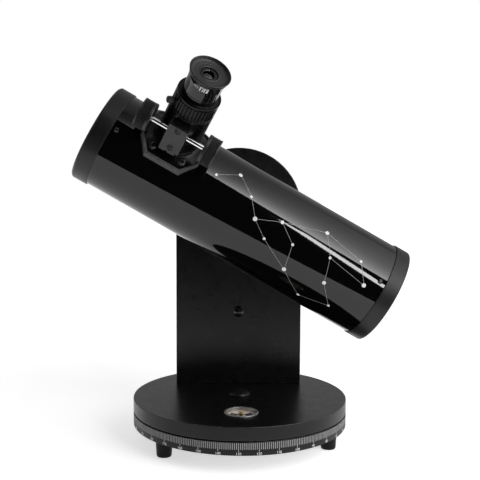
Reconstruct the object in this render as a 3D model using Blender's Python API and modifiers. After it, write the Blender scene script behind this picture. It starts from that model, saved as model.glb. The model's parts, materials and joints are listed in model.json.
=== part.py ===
"""Newtonian reflector telescope on a tabletop base, in metres with +Z up.

A 76 mm f/4.6 tube turns in altitude on one upright board, and the board turns
in azimuth on a round base with three feet. The origin is on the ground, below
the middle of the whole part, and the azimuth axis stands just behind it. -Y is
the side of the eyepiece, and the tube's open end points to -X. Sizes below are
in millimetres, and places on the base and the board are from the azimuth axis.
"""

import math

import bmesh
import bpy
from mathutils import Matrix

MM = 0.001
GAP = 0.3  # between pieces that touch
DISC_STEPS = 48
TUBE_STEPS = 44
MID_STEPS = 24
SMALL_STEPS = 12
SCREW_STEPS = 8
SHARP_ANGLE = math.radians(35)

AZIMUTH_AXIS = (0, 7.5, 0)

# Base: a ground plate on three feet, and a turntable board on it.
FOOT_HEIGHT = 18.9
FOOT_CIRCLE = 101.7
FOOT_ANGLES = (22.0, 142.0, 262.0)
FOOT_RADIUS = 9.0
PLATE_TOP = 32.7
BASE_RADIUS = 117.2
SCALE_THICKNESS = 0.7
TURNTABLE_BOTTOM = 33.9
TURNTABLE_TOP = 47.9
PIVOT_RADIUS = 3.0
PIVOT_RECESS_RADIUS = 9.5
PIVOT_RECESS_FLOOR = 41.9
PIVOT_CAP_RADIUS = 12.0
BEARING_INSIDE = 60.0
BEARING_OUTSIDE = 90.0
NUT_RADIUS = 5.77  # over the corners of a nut 10 mm across its flats

# Compass, let into the turntable in front of the pivot.
COMPASS_Y = -68.4
COMPASS_RADIUS = 17.0
COMPASS_FLOOR = 41.7

# Upright board and the altitude axis through it.
UPRIGHT_FRONT = 45.45
UPRIGHT_THICKNESS = 15.0
UPRIGHT_WIDTH = 143.9
ALTITUDE_HEIGHT = 249.6
BOARD_BOLT_HEIGHT = 133.0
ALTITUDE_BOLT_RADIUS = 3.0
SADDLE_RADIUS = 30.0
SADDLE_FACE = 43.0
KNOB_RADIUS = 19.0
KNOB_LOBES = 6
KNOB_WASHER_THICKNESS = 1.2

# Tube. X of the tube frame runs along its axis, from the altitude axis to the open end.
TUBE_Y = -17.1
TUBE_ELEVATION = math.radians(29.77)
TUBE_RADIUS = 52.5
TUBE_WALL = 1.0
RING_RADIUS = 53.7
FRONT_END = 176.4
REAR_END = -177.2
FRONT_RING_BACK = 158.4
REAR_CAP_FRONT = -161.2
FRONT_SCREWS_X = 153.2
REAR_SCREWS_X = -154.9
TUBE_SCREW_ANGLES = (75.0, 195.0, 315.0)

# Optics.
APERTURE_RADIUS = 38.0
FOCAL_LENGTH = 350.0
MIRROR_FACE_X = -135.6
MIRROR_THICKNESS = 9.0
CELL_RADIUS = 43.0
SECONDARY_RADIUS = 13.0
COLLIMATION_CIRCLE = 33.0
COLLIMATION_RADIUS = 2.0

# Focuser. Z of the focuser frame runs out along the drawtube, from the tube's axis, and Y is
# across it, towards the pinion.
FOCUSER_X = 97.43
FOCUSER_ANGLE = math.radians(43.07)
FLANGE_HALF_LENGTH = 33.0
FLANGE_HALF_WIDTH = 35.3
FLANGE_CORNER_X = 20.0
FLANGE_CORNER_Y = 20.5
HOUSING_RADIUS = 22.8
HOUSING_TOP = 97.0
BORE_RADIUS = 16.1
DRAWTUBE_RADIUS = 17.3
DRAWTUBE_BOTTOM = 54.0
DRAWTUBE_TOP = 101.0
COLLAR_RADIUS = 22.6
COLLAR_BOTTOM = 97.3
COLLAR_TOP = 116.5
THUMBSCREW_Z = 105.5
THUMBSCREW_ANGLE = math.radians(38)
SHAFT_Y = 22.5
SHAFT_Z = 77.4
SHAFT_RADIUS = 2.5
PINION_PITCH_RADIUS = 3.0
PINION_TEETH = 8
PINION_HALF_LENGTH = 3.8
RACK_WIDTH = 4.4
FOCUS_KNOB_RADIUS = 15.5
FOCUS_KNOB_NEAR = 29.0
FOCUS_KNOB_FAR = 43.0
BOSS_HALF_WIDTH = 10.0
BOSS_FACE = 29.7
COVER_BOTTOM = 58.0
COVER_TOP = 91.0
COVER_FACE = 32.0

# Eyepiece, 1.25 inch.
BARREL_RADIUS = 15.7
EYEPIECE_RADIUS = 18.0
EYECUP_TOP = 146.6
EYECUP_RADIUS = 21.1

# Finishes: colour, roughness, metallic.
BLACK_BOARD = ((0.03, 0.03, 0.032), 0.45, 0.0)
BLACK_PLASTIC = ((0.035, 0.035, 0.037), 0.5, 0.0)
GLOSS_BLACK = ((0.01, 0.01, 0.012), 0.12, 0.0)
DARK_RUBBER = ((0.03, 0.03, 0.03), 0.8, 0.0)
SCALE_GREY = ((0.09, 0.09, 0.095), 0.6, 0.0)
WHITE_PLASTIC = ((0.8, 0.8, 0.78), 0.4, 0.0)
STEEL = ((0.6, 0.6, 0.61), 0.3, 1.0)
BLACK_STEEL = ((0.05, 0.05, 0.05), 0.35, 0.6)
CHROME = ((0.85, 0.85, 0.87), 0.08, 1.0)
SILVER_PLASTIC = ((0.62, 0.62, 0.6), 0.3, 0.4)
CARD = ((0.85, 0.78, 0.55), 0.6, 0.0)
NEEDLE_RED = ((0.6, 0.05, 0.04), 0.4, 0.0)
GLASS = ((0.8, 0.86, 0.86), 0.05, 0.0)
MIRROR = ((0.92, 0.93, 0.94), 0.03, 1.0)

AXIS_TURNS = {
    "Z": (0.0, 0.0, 0.0),
    "X": (0.0, math.pi / 2, 0.0),
    "-X": (0.0, -math.pi / 2, 0.0),
    "Y": (-math.pi / 2, 0.0, 0.0),
    "-Y": (math.pi / 2, 0.0, 0.0),
}


def clear_scene():
    for obj in list(bpy.data.objects):
        bpy.data.objects.remove(obj, do_unlink=True)


def new_collection(name):
    collection = bpy.data.collections.new(name)
    bpy.context.scene.collection.children.link(collection)
    return collection


def new_material(name, finish):
    colour, roughness, metallic = finish
    material = bpy.data.materials.new(name)
    material.use_nodes = True
    shader = material.node_tree.nodes["Principled BSDF"]
    shader.inputs["Base Color"].default_value = (*colour, 1.0)
    shader.inputs["Roughness"].default_value = roughness
    shader.inputs["Metallic"].default_value = metallic
    return material


def new_frame(name, parent=None, at=(0, 0, 0), turn=None):
    """An empty that pieces are placed in. It sits on the axis they move about."""
    frame = bpy.data.objects.new(name, None)
    frame.empty_display_size = 0.02
    PARTS.objects.link(frame)
    frame.parent = parent
    frame.matrix_local = Matrix.Translation([v * MM for v in at]) @ (turn or Matrix())
    return frame


def place(name, mesh, finish, frame, at, turn):
    """Puts a mesh in the frame: a part with its own material, or a cutter where finish is None."""
    obj = bpy.data.objects.new(name, mesh)
    obj.parent = frame
    obj.location = [v * MM for v in at]
    obj.rotation_euler = turn
    if finish is None:
        CUTTERS.objects.link(obj)
        obj.hide_render = True
        obj.display_type = "WIRE"
    else:
        PARTS.objects.link(obj)
        mesh.materials.append(new_material(name, finish))
    return obj


def turned(name, profile, finish, frame, at=(0, 0, 0), axis="Z", steps=MID_STEPS, turn=None):
    """A lathed solid from (radius, height) points, outer side from top to bottom.

    A profile that starts and ends on the axis is left open there, and any other is a ring.
    """
    solid = profile[0][0] == 0 and profile[-1][0] == 0
    count = len(profile)
    edges = [(i, (i + 1) % count) for i in range(count - 1 if solid else count)]
    mesh = bpy.data.meshes.new(name)
    mesh.from_pydata([(r * MM, 0, z * MM) for r, z in profile], edges, [])
    obj = place(name, mesh, finish, frame, at, turn or AXIS_TURNS[axis])
    screw = obj.modifiers.new("Turn", "SCREW")
    screw.steps = screw.render_steps = steps
    screw.use_merge_vertices = True
    screw.merge_threshold = 0.00001
    return obj


def block(name, low, high, finish, frame, at=(0, 0, 0), turn=(0, 0, 0)):
    """A box between two corners."""
    mesh = bpy.data.meshes.new(name)
    cage = bmesh.new()
    bmesh.ops.create_cube(cage, size=1)
    size = [(h - l) * MM for l, h in zip(low, high)]
    middle = [(h + l) / 2 * MM for l, h in zip(low, high)]
    bmesh.ops.transform(cage, matrix=Matrix.Translation(middle) @ Matrix.Diagonal((*size, 1)),
                        verts=cage.verts)
    cage.to_mesh(mesh)
    cage.free()
    return place(name, mesh, finish, frame, at, turn)


def prism(name, outlines, low, high, finish, frame, at=(0, 0, 0), turn=(0, 0, 0)):
    """A flat outline, with any holes in it, thickened along Z from low to high."""
    curve = bpy.data.curves.new(name, "CURVE")
    curve.dimensions = "2D"
    curve.fill_mode = "BOTH"
    curve.extrude = (high - low) / 2 * MM
    for outline in outlines:
        spline = curve.splines.new("POLY")
        spline.points.add(len(outline) - 1)
        for point, (x, y) in zip(spline.points, outline):
            point.co = (x * MM, y * MM, 0, 1)
        spline.use_cyclic_u = True
    source = bpy.data.objects.new(name + "_outline", curve)
    CUTTERS.objects.link(source)
    bpy.context.view_layer.update()
    graph = bpy.context.evaluated_depsgraph_get()
    mesh = bpy.data.meshes.new_from_object(source.evaluated_get(graph))
    bpy.data.objects.remove(source, do_unlink=True)
    bpy.data.curves.remove(curve)
    mesh.name = name
    cage = bmesh.new()
    cage.from_mesh(mesh)
    bmesh.ops.remove_doubles(cage, verts=cage.verts, dist=0.00001)
    bmesh.ops.recalc_face_normals(cage, faces=cage.faces)
    bmesh.ops.translate(cage, verts=cage.verts, vec=(0, 0, (high + low) / 2 * MM))
    cage.to_mesh(mesh)
    cage.free()
    return place(name, mesh, finish, frame, at, turn)


def boolean(obj, operation, others):
    for other in others:
        modifier = obj.modifiers.new(operation.title(), "BOOLEAN")
        modifier.operation = operation
        modifier.object = other
        modifier.solver = "EXACT"


def cut(obj, *cutters):
    boolean(obj, "DIFFERENCE", cutters)


def join(obj, *others):
    boolean(obj, "UNION", others)


def circle(radius, steps, x=0.0, y=0.0, start=0.0):
    turns = [start + 2 * math.pi * i / steps for i in range(steps)]
    return [(x + radius * math.cos(t), y + radius * math.sin(t)) for t in turns]


def cylinder_cutter(name, radius, low, high, frame, at=(0, 0, 0), axis="Z", steps=SMALL_STEPS,
                    turn=None):
    return turned(name, [(0, high), (radius, high), (radius, low), (0, low)], None, frame, at, axis,
                  steps, turn)


def around_tube(angle):
    """Turns Z outwards, square to the tube, at this angle from the tube frame's +Z towards +Y."""
    return (-math.radians(angle), 0.0, 0.0)


def screw_profile(head_radius, head_height, shank_radius, length):
    """A pan-head screw with its seat at Z = 0 and its head above."""
    crown = head_height * 0.45
    return [(0, head_height), (head_radius * 0.7, head_height), (head_radius, crown), (head_radius, 0),
            (shank_radius, 0), (shank_radius, -length), (0, -length)]


# ---- base -------------------------------------------------------------------------------------


def make_ground_base(frame):
    plate_radius = BASE_RADIUS - SCALE_THICKNESS - GAP
    bore = PIVOT_RADIUS + GAP
    turned("base_plate", [
        (bore, PLATE_TOP), (plate_radius, PLATE_TOP), (plate_radius, FOOT_HEIGHT), (bore, FOOT_HEIGHT),
    ], BLACK_BOARD, frame, steps=DISC_STEPS)
    edge = 0.4
    ring_inside = BASE_RADIUS - SCALE_THICKNESS
    turned("azimuth_scale", [
        (ring_inside, PLATE_TOP - edge), (BASE_RADIUS, PLATE_TOP - edge),
        (BASE_RADIUS, FOOT_HEIGHT + edge), (ring_inside, FOOT_HEIGHT + edge),
    ], SCALE_GREY, frame, steps=DISC_STEPS)
    high, low = TURNTABLE_BOTTOM - GAP, PLATE_TOP + GAP
    turned("azimuth_bearing", [
        (BEARING_INSIDE, high), (BEARING_OUTSIDE, high), (BEARING_OUTSIDE, low), (BEARING_INSIDE, low),
    ], WHITE_PLASTIC, frame)
    for number, angle in enumerate(FOOT_ANGLES, start=1):
        make_foot(f"foot_{number}", math.radians(angle), frame)
    make_pivot(frame)


def make_foot(name, angle, frame):
    """A tapered rubber foot, with a recess below for the head of its screw."""
    top = FOOT_HEIGHT - GAP
    turned(name, [
        (2.2, top), (FOOT_RADIUS, top), (8.0, 1.2), (7.3, 0), (4.6, 0), (4.6, 9), (2.2, 9),
    ], DARK_RUBBER, frame, (FOOT_CIRCLE * math.cos(angle), -FOOT_CIRCLE * math.sin(angle), 0),
        steps=SMALL_STEPS)


def make_pivot(frame):
    """The azimuth bolt, held in the ground plate, and the washer and lock nut on it."""
    head_top = FOOT_HEIGHT - GAP
    turned("pivot_bolt", [
        (0, 50.4), (PIVOT_RADIUS - 0.5, 50.4), (PIVOT_RADIUS, 49.9), (PIVOT_RADIUS, head_top),
        (8, head_top), (8, head_top - 1.4), (5.5, head_top - 3.6), (0, head_top - 4),
    ], STEEL, frame, steps=SMALL_STEPS)
    washer_bottom = PIVOT_RECESS_FLOOR + GAP
    washer_top = washer_bottom + 1.2
    bore = PIVOT_RADIUS + GAP
    turned("pivot_washer", [
        (bore, washer_top), (7.5, washer_top), (7.5, washer_bottom), (bore, washer_bottom),
    ], STEEL, frame, steps=SMALL_STEPS)
    prism("pivot_nut", [circle(NUT_RADIUS, 6), circle(bore, SCREW_STEPS)], washer_top + GAP, 49.2, STEEL,
          frame)


def make_turntable(frame):
    edge = 0.6
    bore = PIVOT_RADIUS + GAP
    board = turned("turntable_board", [
        (PIVOT_RECESS_RADIUS, TURNTABLE_TOP), (BASE_RADIUS - edge, TURNTABLE_TOP),
        (BASE_RADIUS, TURNTABLE_TOP - edge), (BASE_RADIUS, TURNTABLE_BOTTOM + edge),
        (BASE_RADIUS - edge, TURNTABLE_BOTTOM), (bore, TURNTABLE_BOTTOM),
        (bore, PIVOT_RECESS_FLOOR), (PIVOT_RECESS_RADIUS, PIVOT_RECESS_FLOOR),
    ], BLACK_BOARD, frame, steps=DISC_STEPS)
    cut(board, cylinder_cutter("compass_recess", COMPASS_RADIUS + GAP, COMPASS_FLOOR - GAP,
                               TURNTABLE_TOP + 5, frame, (0, COMPASS_Y, 0), steps=MID_STEPS))
    cap_bottom = TURNTABLE_TOP + GAP
    turned("pivot_cap", [
        (0, 53.4), (6, 52.9), (10, 51.4), (PIVOT_CAP_RADIUS, 49.4), (PIVOT_CAP_RADIUS, cap_bottom),
        (8.6, cap_bottom), (8.2, 50.4), (0, 51.9),
    ], BLACK_PLASTIC, frame, steps=MID_STEPS)
    make_compass(frame)
    make_upright(frame)


def make_compass(frame):
    """A cup with the needle's pin in its floor, a card, the needle and a clear window."""
    centre = (0, COMPASS_Y, 0)
    floor = COMPASS_FLOOR
    rim = TURNTABLE_TOP + GAP
    inside = COMPASS_RADIUS - 1.6
    turned("compass_housing", [
        (0, floor + 4.2), (0.7, floor + 1.2), (inside, floor + 1.2), (inside, rim + 1),
        (COMPASS_RADIUS + 0.2, rim + 1), (COMPASS_RADIUS + 0.7, rim + 0.5),
        (COMPASS_RADIUS + 0.7, rim), (COMPASS_RADIUS, rim), (COMPASS_RADIUS, floor), (0, floor),
    ], SILVER_PLASTIC, frame, centre)
    turned("compass_dial", [
        (1.2, floor + 2), (inside - GAP, floor + 2), (inside - GAP, floor + 1.5), (1.2, floor + 1.5),
    ], CARD, frame, centre)
    turned("compass_window", [
        (0, rim + 0.9), (inside - GAP, rim + 0.9), (inside - GAP, rim - 0.1), (0, rim - 0.1),
    ], GLASS, frame, centre)
    needle_frame = new_frame("compass_needle_frame", frame, centre)
    outline = [(0, 12), (-2, 0), (0, -12), (2, 0)]
    prism("compass_needle", [outline], floor + 4.5, floor + 5.1, NEEDLE_RED, needle_frame)


def make_upright(frame):
    """The board with a round top, and the dome-headed bolt and cap nut below the tube."""
    half = UPRIGHT_WIDTH / 2
    steps = 32
    arc = [math.pi * i / steps for i in range(steps + 1)]
    bottom = TURNTABLE_TOP + GAP
    outline = [(-half, bottom), (half, bottom)]
    outline += [(half * math.cos(t), ALTITUDE_HEIGHT + half * math.sin(t)) for t in arc]
    altitude_hole = circle(ALTITUDE_BOLT_RADIUS + GAP, SCREW_STEPS, y=ALTITUDE_HEIGHT)
    bolt_hole = circle(PIVOT_RADIUS + GAP, SCREW_STEPS, y=BOARD_BOLT_HEIGHT)
    back = UPRIGHT_FRONT + UPRIGHT_THICKNESS
    upright = prism("upright_board", [outline, altitude_hole, bolt_hole], -back, -UPRIGHT_FRONT,
                    BLACK_BOARD, frame, turn=AXIS_TURNS["-Y"])
    bevel = upright.modifiers.new("Edges", "BEVEL")
    bevel.width = 0.5 * MM
    bevel.segments = 1
    bevel.limit_method = "ANGLE"
    bevel.angle_limit = math.radians(60)
    turned("board_bolt", [
        (0, 4), (3.5, 3.4), (5.8, 1.9), (6.6, 0), (PIVOT_RADIUS, 0), (PIVOT_RADIUS, -20), (0, -20),
    ], BLACK_STEEL, frame, (0, UPRIGHT_FRONT - GAP, BOARD_BOLT_HEIGHT), "-Y", SMALL_STEPS)
    bore = PIVOT_RADIUS + GAP
    prism("board_bolt_nut", [circle(NUT_RADIUS, 6), circle(bore, SCREW_STEPS)], -back - GAP - 5,
          -back - GAP, STEEL, frame, (0, 0, BOARD_BOLT_HEIGHT), AXIS_TURNS["-Y"])
    washer_bore = ALTITUDE_BOLT_RADIUS + GAP
    thickness = UPRIGHT_FRONT - SADDLE_FACE - 2 * GAP
    turned("altitude_washer", [
        (washer_bore, thickness), (SADDLE_RADIUS - 2, thickness), (SADDLE_RADIUS - 2, 0), (washer_bore, 0),
    ], WHITE_PLASTIC, frame, (0, UPRIGHT_FRONT - GAP, ALTITUDE_HEIGHT), "-Y")
    turned("knob_washer", [
        (washer_bore, KNOB_WASHER_THICKNESS), (10, KNOB_WASHER_THICKNESS), (10, 0), (washer_bore, 0),
    ], STEEL, frame, (0, back + GAP, ALTITUDE_HEIGHT), "Y", SMALL_STEPS)


# ---- tube -------------------------------------------------------------------------------------


def make_altitude_pivot(frame):
    """The saddle between tube and board, the bolt through both, and the knob behind the board.

    Y of the tube frame points to the eyepiece's side, so the board lies at negative Y here.
    """
    face = SADDLE_FACE - TUBE_Y
    bore = ALTITUDE_BOLT_RADIUS + GAP
    saddle = turned("altitude_saddle", [
        (bore, face), (SADDLE_RADIUS - 1, face), (SADDLE_RADIUS, face - 1), (SADDLE_RADIUS, 43.9),
        (bore, 43.9),
    ], BLACK_PLASTIC, frame, axis="-Y")
    cut(saddle, cylinder_cutter("saddle_seat", TUBE_RADIUS + GAP, -60, 60, frame, axis="X",
                                steps=TUBE_STEPS))
    head_top = 50.2
    end = 91.0
    turned("altitude_bolt", [
        (0, end), (ALTITUDE_BOLT_RADIUS, end), (ALTITUDE_BOLT_RADIUS, head_top), (8, head_top),
        (8, head_top - 1.5), (5, head_top - 3.4), (0, head_top - 4),
    ], STEEL, frame, axis="-Y", steps=SMALL_STEPS)
    near = UPRIGHT_FRONT + UPRIGHT_THICKNESS + 2 * GAP + KNOB_WASHER_THICKNESS - TUBE_Y
    steps = 36
    turns = [2 * math.pi * i / steps for i in range(steps)]
    radii = [KNOB_RADIUS - 1.6 * (1 - math.cos(KNOB_LOBES * t)) for t in turns]
    outline = [(r * math.cos(t), r * math.sin(t)) for r, t in zip(radii, turns)]
    knob = prism("altitude_knob", [outline], near + 4, near + 21, BLACK_PLASTIC, frame,
                 turn=AXIS_TURNS["-Y"])
    hub = turned("altitude_knob_hub", [
        (0, near + 10), (11, near + 10), (11, near), (0, near),
    ], None, frame, axis="-Y")
    join(knob, hub)
    cut(knob, cylinder_cutter("altitude_knob_bore", bore, near - 2, end + 1, frame, axis="-Y",
                              steps=SCREW_STEPS))


def make_tube(frame):
    shell = turned("tube_shell", [
        (TUBE_RADIUS - TUBE_WALL, FRONT_END - 5.3), (TUBE_RADIUS, FRONT_END - 5.3),
        (TUBE_RADIUS, REAR_END + 5.6), (TUBE_RADIUS - TUBE_WALL, REAR_END + 5.6),
    ], GLOSS_BLACK, frame, axis="X", steps=TUBE_STEPS)
    turn = Matrix.Rotation(-FOCUSER_ANGLE, 4, "X").to_euler()
    cut(shell, cylinder_cutter("focuser_hole", DRAWTUBE_RADIUS + GAP, 30, 70, frame, (FOCUSER_X, 0, 0),
                               steps=MID_STEPS, turn=turn))
    cut(shell, cylinder_cutter("altitude_hole", ALTITUDE_BOLT_RADIUS + GAP, 40, 60, frame, axis="-Y",
                               steps=SCREW_STEPS))
    ring_inside = TUBE_RADIUS + GAP
    lip = 49.6
    turned("front_ring", [
        (lip, FRONT_END), (RING_RADIUS - 2, FRONT_END), (RING_RADIUS - 0.6, FRONT_END - 0.6),
        (RING_RADIUS, FRONT_END - 2), (RING_RADIUS, FRONT_RING_BACK), (ring_inside, FRONT_RING_BACK),
        (ring_inside, FRONT_END - 5), (lip, FRONT_END - 5),
    ], BLACK_PLASTIC, frame, axis="X", steps=TUBE_STEPS)
    make_rear_cap(frame)
    make_tube_screws(shell, frame)


def make_rear_cap(frame):
    """The cap over the mirror end: a rim outside the tube, a spigot inside it, and a back plate."""
    plate_back = REAR_END + 2.5
    plate_front = plate_back + 2.8
    spigot = TUBE_RADIUS - TUBE_WALL - GAP
    spigot_inside = spigot - 3
    rim = TUBE_RADIUS + GAP
    cap = turned("rear_cap", [
        (0, plate_front), (spigot_inside, plate_front), (spigot_inside, REAR_SCREWS_X + 5),
        (spigot, REAR_SCREWS_X + 5), (spigot, plate_front), (rim, plate_front), (rim, REAR_CAP_FRONT),
        (RING_RADIUS, REAR_CAP_FRONT), (RING_RADIUS, REAR_END + 1.5), (RING_RADIUS - 1.5, REAR_END),
        (49.5, REAR_END), (49.5, plate_back), (0, plate_back),
    ], BLACK_PLASTIC, frame, axis="X", steps=TUBE_STEPS)
    for number in range(3):
        angle = math.radians(90 + 120 * number)
        at = (0, COLLIMATION_CIRCLE * math.sin(angle), COLLIMATION_CIRCLE * math.cos(angle))
        cut(cap, cylinder_cutter(f"collimation_hole_{number + 1}", COLLIMATION_RADIUS + GAP, REAR_END - 5,
                                 plate_front + 5, frame, at, "X", SCREW_STEPS))
        turned(f"collimation_screw_{number + 1}", [
            (0, 4.6), (4.2, 4.6), (5, 3.8), (5, 0), (COLLIMATION_RADIUS, 0), (COLLIMATION_RADIUS, -24),
            (0, -24),
        ], STEEL, frame, (plate_back - GAP, *at[1:]), "-X", SMALL_STEPS)
    for number, angle in enumerate(TUBE_SCREW_ANGLES, start=1):
        cut(cap, cylinder_cutter(f"cap_screw_hole_{number}", 1.7, 45, 56, frame, (REAR_SCREWS_X, 0, 0),
                                 steps=SCREW_STEPS, turn=around_tube(angle)))


def make_tube_screws(shell, frame):
    """Three screws hold the spider's ring at the front, and three the cap's spigot at the back."""
    for end, x in (("front", FRONT_SCREWS_X), ("rear", REAR_SCREWS_X)):
        for number, angle in enumerate(TUBE_SCREW_ANGLES, start=1):
            turn = around_tube(angle)
            hole = cylinder_cutter(f"{end}_tube_hole_{number}", 1.7, 50, 54, frame, (x, 0, 0),
                                   steps=SCREW_STEPS, turn=turn)
            cut(shell, hole)
            seat = TUBE_RADIUS + GAP
            profile = [(r, z + seat) for r, z in screw_profile(2.6, 1.7, 1.4, 4.2)]
            turned(f"{end}_tube_screw_{number}", profile, STEEL if end == "front" else BLACK_STEEL,
                   frame, (x, 0, 0), steps=SCREW_STEPS, turn=turn)


def make_optics(frame):
    """The main mirror in its cell, and the diagonal on its spider."""
    back = MIRROR_FACE_X - MIRROR_THICKNESS
    steps = 3
    rim_sag = APERTURE_RADIUS ** 2 / (4 * FOCAL_LENGTH)
    face = []
    for i in range(steps + 1):
        r = APERTURE_RADIUS * i / steps
        face.append((r, MIRROR_FACE_X - rim_sag + r ** 2 / (4 * FOCAL_LENGTH)))
    turned("primary_mirror", face + [(APERTURE_RADIUS, back), (0, back)], MIRROR, frame, axis="X",
           steps=MID_STEPS)
    cell_inside = APERTURE_RADIUS + GAP
    floor = back - GAP
    cell = turned("mirror_cell", [
        (0, floor), (cell_inside, floor), (cell_inside, MIRROR_FACE_X - 1), (CELL_RADIUS, MIRROR_FACE_X - 1),
        (CELL_RADIUS, floor - 5), (0, floor - 5),
    ], BLACK_PLASTIC, frame, axis="X")
    for number in range(3):
        angle = math.radians(90 + 120 * number)
        at = (0, COLLIMATION_CIRCLE * math.sin(angle), COLLIMATION_CIRCLE * math.cos(angle))
        cut(cell, cylinder_cutter(f"cell_thread_{number + 1}", COLLIMATION_RADIUS + GAP, floor - 10,
                                  floor - 1.2, frame, at, "X", SCREW_STEPS))
    make_mirror_retainer(frame)
    make_spider(frame)


def make_mirror_retainer(frame):
    """The ring on the cell's rim, with three tabs that hold the mirror down."""
    front = MIRROR_FACE_X + 1.4
    back = MIRROR_FACE_X + GAP
    step = APERTURE_RADIUS + GAP + 1
    inside = APERTURE_RADIUS - 1.2
    ring = turned("mirror_retainer", [
        (inside, front), (CELL_RADIUS, front), (CELL_RADIUS, back - 0.9), (step, back - 0.9), (step, back),
        (inside, back),
    ], BLACK_PLASTIC, frame, axis="X")
    for number in range(3):
        tab = block(f"retainer_tab_{number + 1}", (back, -4, APERTURE_RADIUS - 4),
                    (front - 0.1, 4, APERTURE_RADIUS), None, frame, turn=(math.radians(120 * number), 0, 0))
        join(ring, tab)


def make_spider(frame):
    """A ring with three vanes and a hub, the diagonal's holder on a stalk, and the diagonal."""
    low = FRONT_SCREWS_X - 5
    high = FRONT_SCREWS_X + 4
    outside = TUBE_RADIUS - TUBE_WALL - GAP
    spider = turned("spider", [
        (outside - 2, high), (outside, high), (outside, low), (outside - 2, low),
    ], BLACK_PLASTIC, frame, axis="X", steps=TUBE_STEPS)
    hub = turned("spider_hub", [
        (0, high + 1), (7, high + 1), (8, high), (8, low), (0, low),
    ], None, frame, axis="X", steps=SMALL_STEPS)
    join(spider, hub)
    for number, angle in enumerate(TUBE_SCREW_ANGLES, start=1):
        vane = block(f"spider_vane_{number}", (low + 0.5, -0.6, 6), (high - 0.5, 0.6, outside - 1), None,
                     frame, turn=around_tube(angle))
        join(spider, vane)
    for number, angle in enumerate(TUBE_SCREW_ANGLES, start=1):
        cut(spider, cylinder_cutter(f"spider_screw_hole_{number}", 1.7, 47.5, 56,
                                    frame, (FRONT_SCREWS_X, 0, 0), steps=SCREW_STEPS, turn=around_tube(angle)))
    cut(spider, cylinder_cutter("spider_bore", 2.3, low - 5, high + 5, frame, axis="X", steps=SCREW_STEPS))
    centre = new_frame("diagonal_frame", frame, (FOCUSER_X, 0, 0), Matrix.Rotation(-FOCUSER_ANGLE, 4, "X"))
    tilt = (0, -math.pi / 4, 0)
    half = 40
    stalk_end = FRONT_SCREWS_X + 7 - FOCUSER_X
    holder = turned("secondary_holder", [
        (0, stalk_end), (2, stalk_end), (2, 36), (6, 36), (SECONDARY_RADIUS - 0.5, 31),
        (SECONDARY_RADIUS - 0.5, -20), (0, -20),
    ], BLACK_PLASTIC, centre, axis="X")
    cut(holder, block("holder_cut", (-half, -half, -2.8), (half, half, 2 * half), None, centre, turn=tilt))
    mirror = turned("secondary_mirror", [
        (0, 24), (SECONDARY_RADIUS, 24), (SECONDARY_RADIUS, -24), (0, -24),
    ], MIRROR, centre, axis="X")
    cut(mirror, block("mirror_front_cut", (-half, -half, 0), (half, half, 2 * half), None, centre, turn=tilt))
    cut(mirror, block("mirror_back_cut", (-half, -half, -2 * half), (half, half, -2.5), None, centre,
                      turn=tilt))


# ---- focuser ----------------------------------------------------------------------------------


def octagon(inset=0.0):
    """The flange's outline, with four long corners cut off, and optionally drawn in."""
    x, y = FLANGE_HALF_LENGTH - inset, FLANGE_HALF_WIDTH - inset
    cut_x, cut_y = FLANGE_CORNER_X - inset * 0.6, FLANGE_CORNER_Y - inset * 0.4
    return [(x, -cut_y), (x, cut_y), (cut_x, y), (-cut_x, y), (-x, cut_y), (-x, -cut_y), (-cut_x, -y),
            (cut_x, -y)]


def make_focuser_housing(frame, shell):
    """A saddle flange with a raised rim, the barrel on it, and the boss that holds the pinion.

    The rim and the recess inside it follow the tube's curve.
    """
    seat = TUBE_RADIUS + GAP
    reach = FLANGE_HALF_LENGTH + 8
    housing = prism("focuser_housing", [octagon()], 30, 62, BLACK_PLASTIC, frame)
    boolean(housing, "INTERSECT", [cylinder_cutter("flange_outside", seat + 3.6, -reach, reach, frame,
                                                   axis="X", steps=TUBE_STEPS)])
    recess = prism("flange_recess", [octagon(3)], 28, 64, None, frame)
    cut(recess, cylinder_cutter("recess_floor", seat + 1.8, -reach, reach, frame, axis="X",
                                steps=TUBE_STEPS))
    cut(housing, recess)
    barrel = turned("housing_barrel", [
        (0, HOUSING_TOP), (HOUSING_RADIUS, HOUSING_TOP), (HOUSING_RADIUS, 60),
        (HOUSING_RADIUS + 1.5, 40), (0, 40),
    ], None, frame, steps=MID_STEPS)
    boss = block("pinion_boss", (-BOSS_HALF_WIDTH, 10, 40), (BOSS_HALF_WIDTH, BOSS_FACE, COVER_TOP + 1),
                 None, frame)
    join(housing, barrel, boss)
    cut(housing, cylinder_cutter("tube_clearance", seat, -60, 60, frame, axis="X", steps=TUBE_STEPS))
    cut(housing, cylinder_cutter("drawtube_bore", DRAWTUBE_RADIUS + GAP, 20, 110, frame, steps=MID_STEPS))
    cut(housing, block("rack_slot", (-2.6, 10, 45), (2.6, 20.4, 110), None, frame))
    cut(housing, cylinder_cutter("pinion_pocket", 3.9, -4.2, 4.2, frame, (0, SHAFT_Y, SHAFT_Z), "X",
                                 SMALL_STEPS))
    cut(housing, cylinder_cutter("shaft_bore", SHAFT_RADIUS + GAP, -30, 30, frame, (0, SHAFT_Y, SHAFT_Z),
                                 "X", SMALL_STEPS))
    make_focuser_screws(housing, shell, frame)
    make_pinion_cover(housing, frame)


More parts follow.
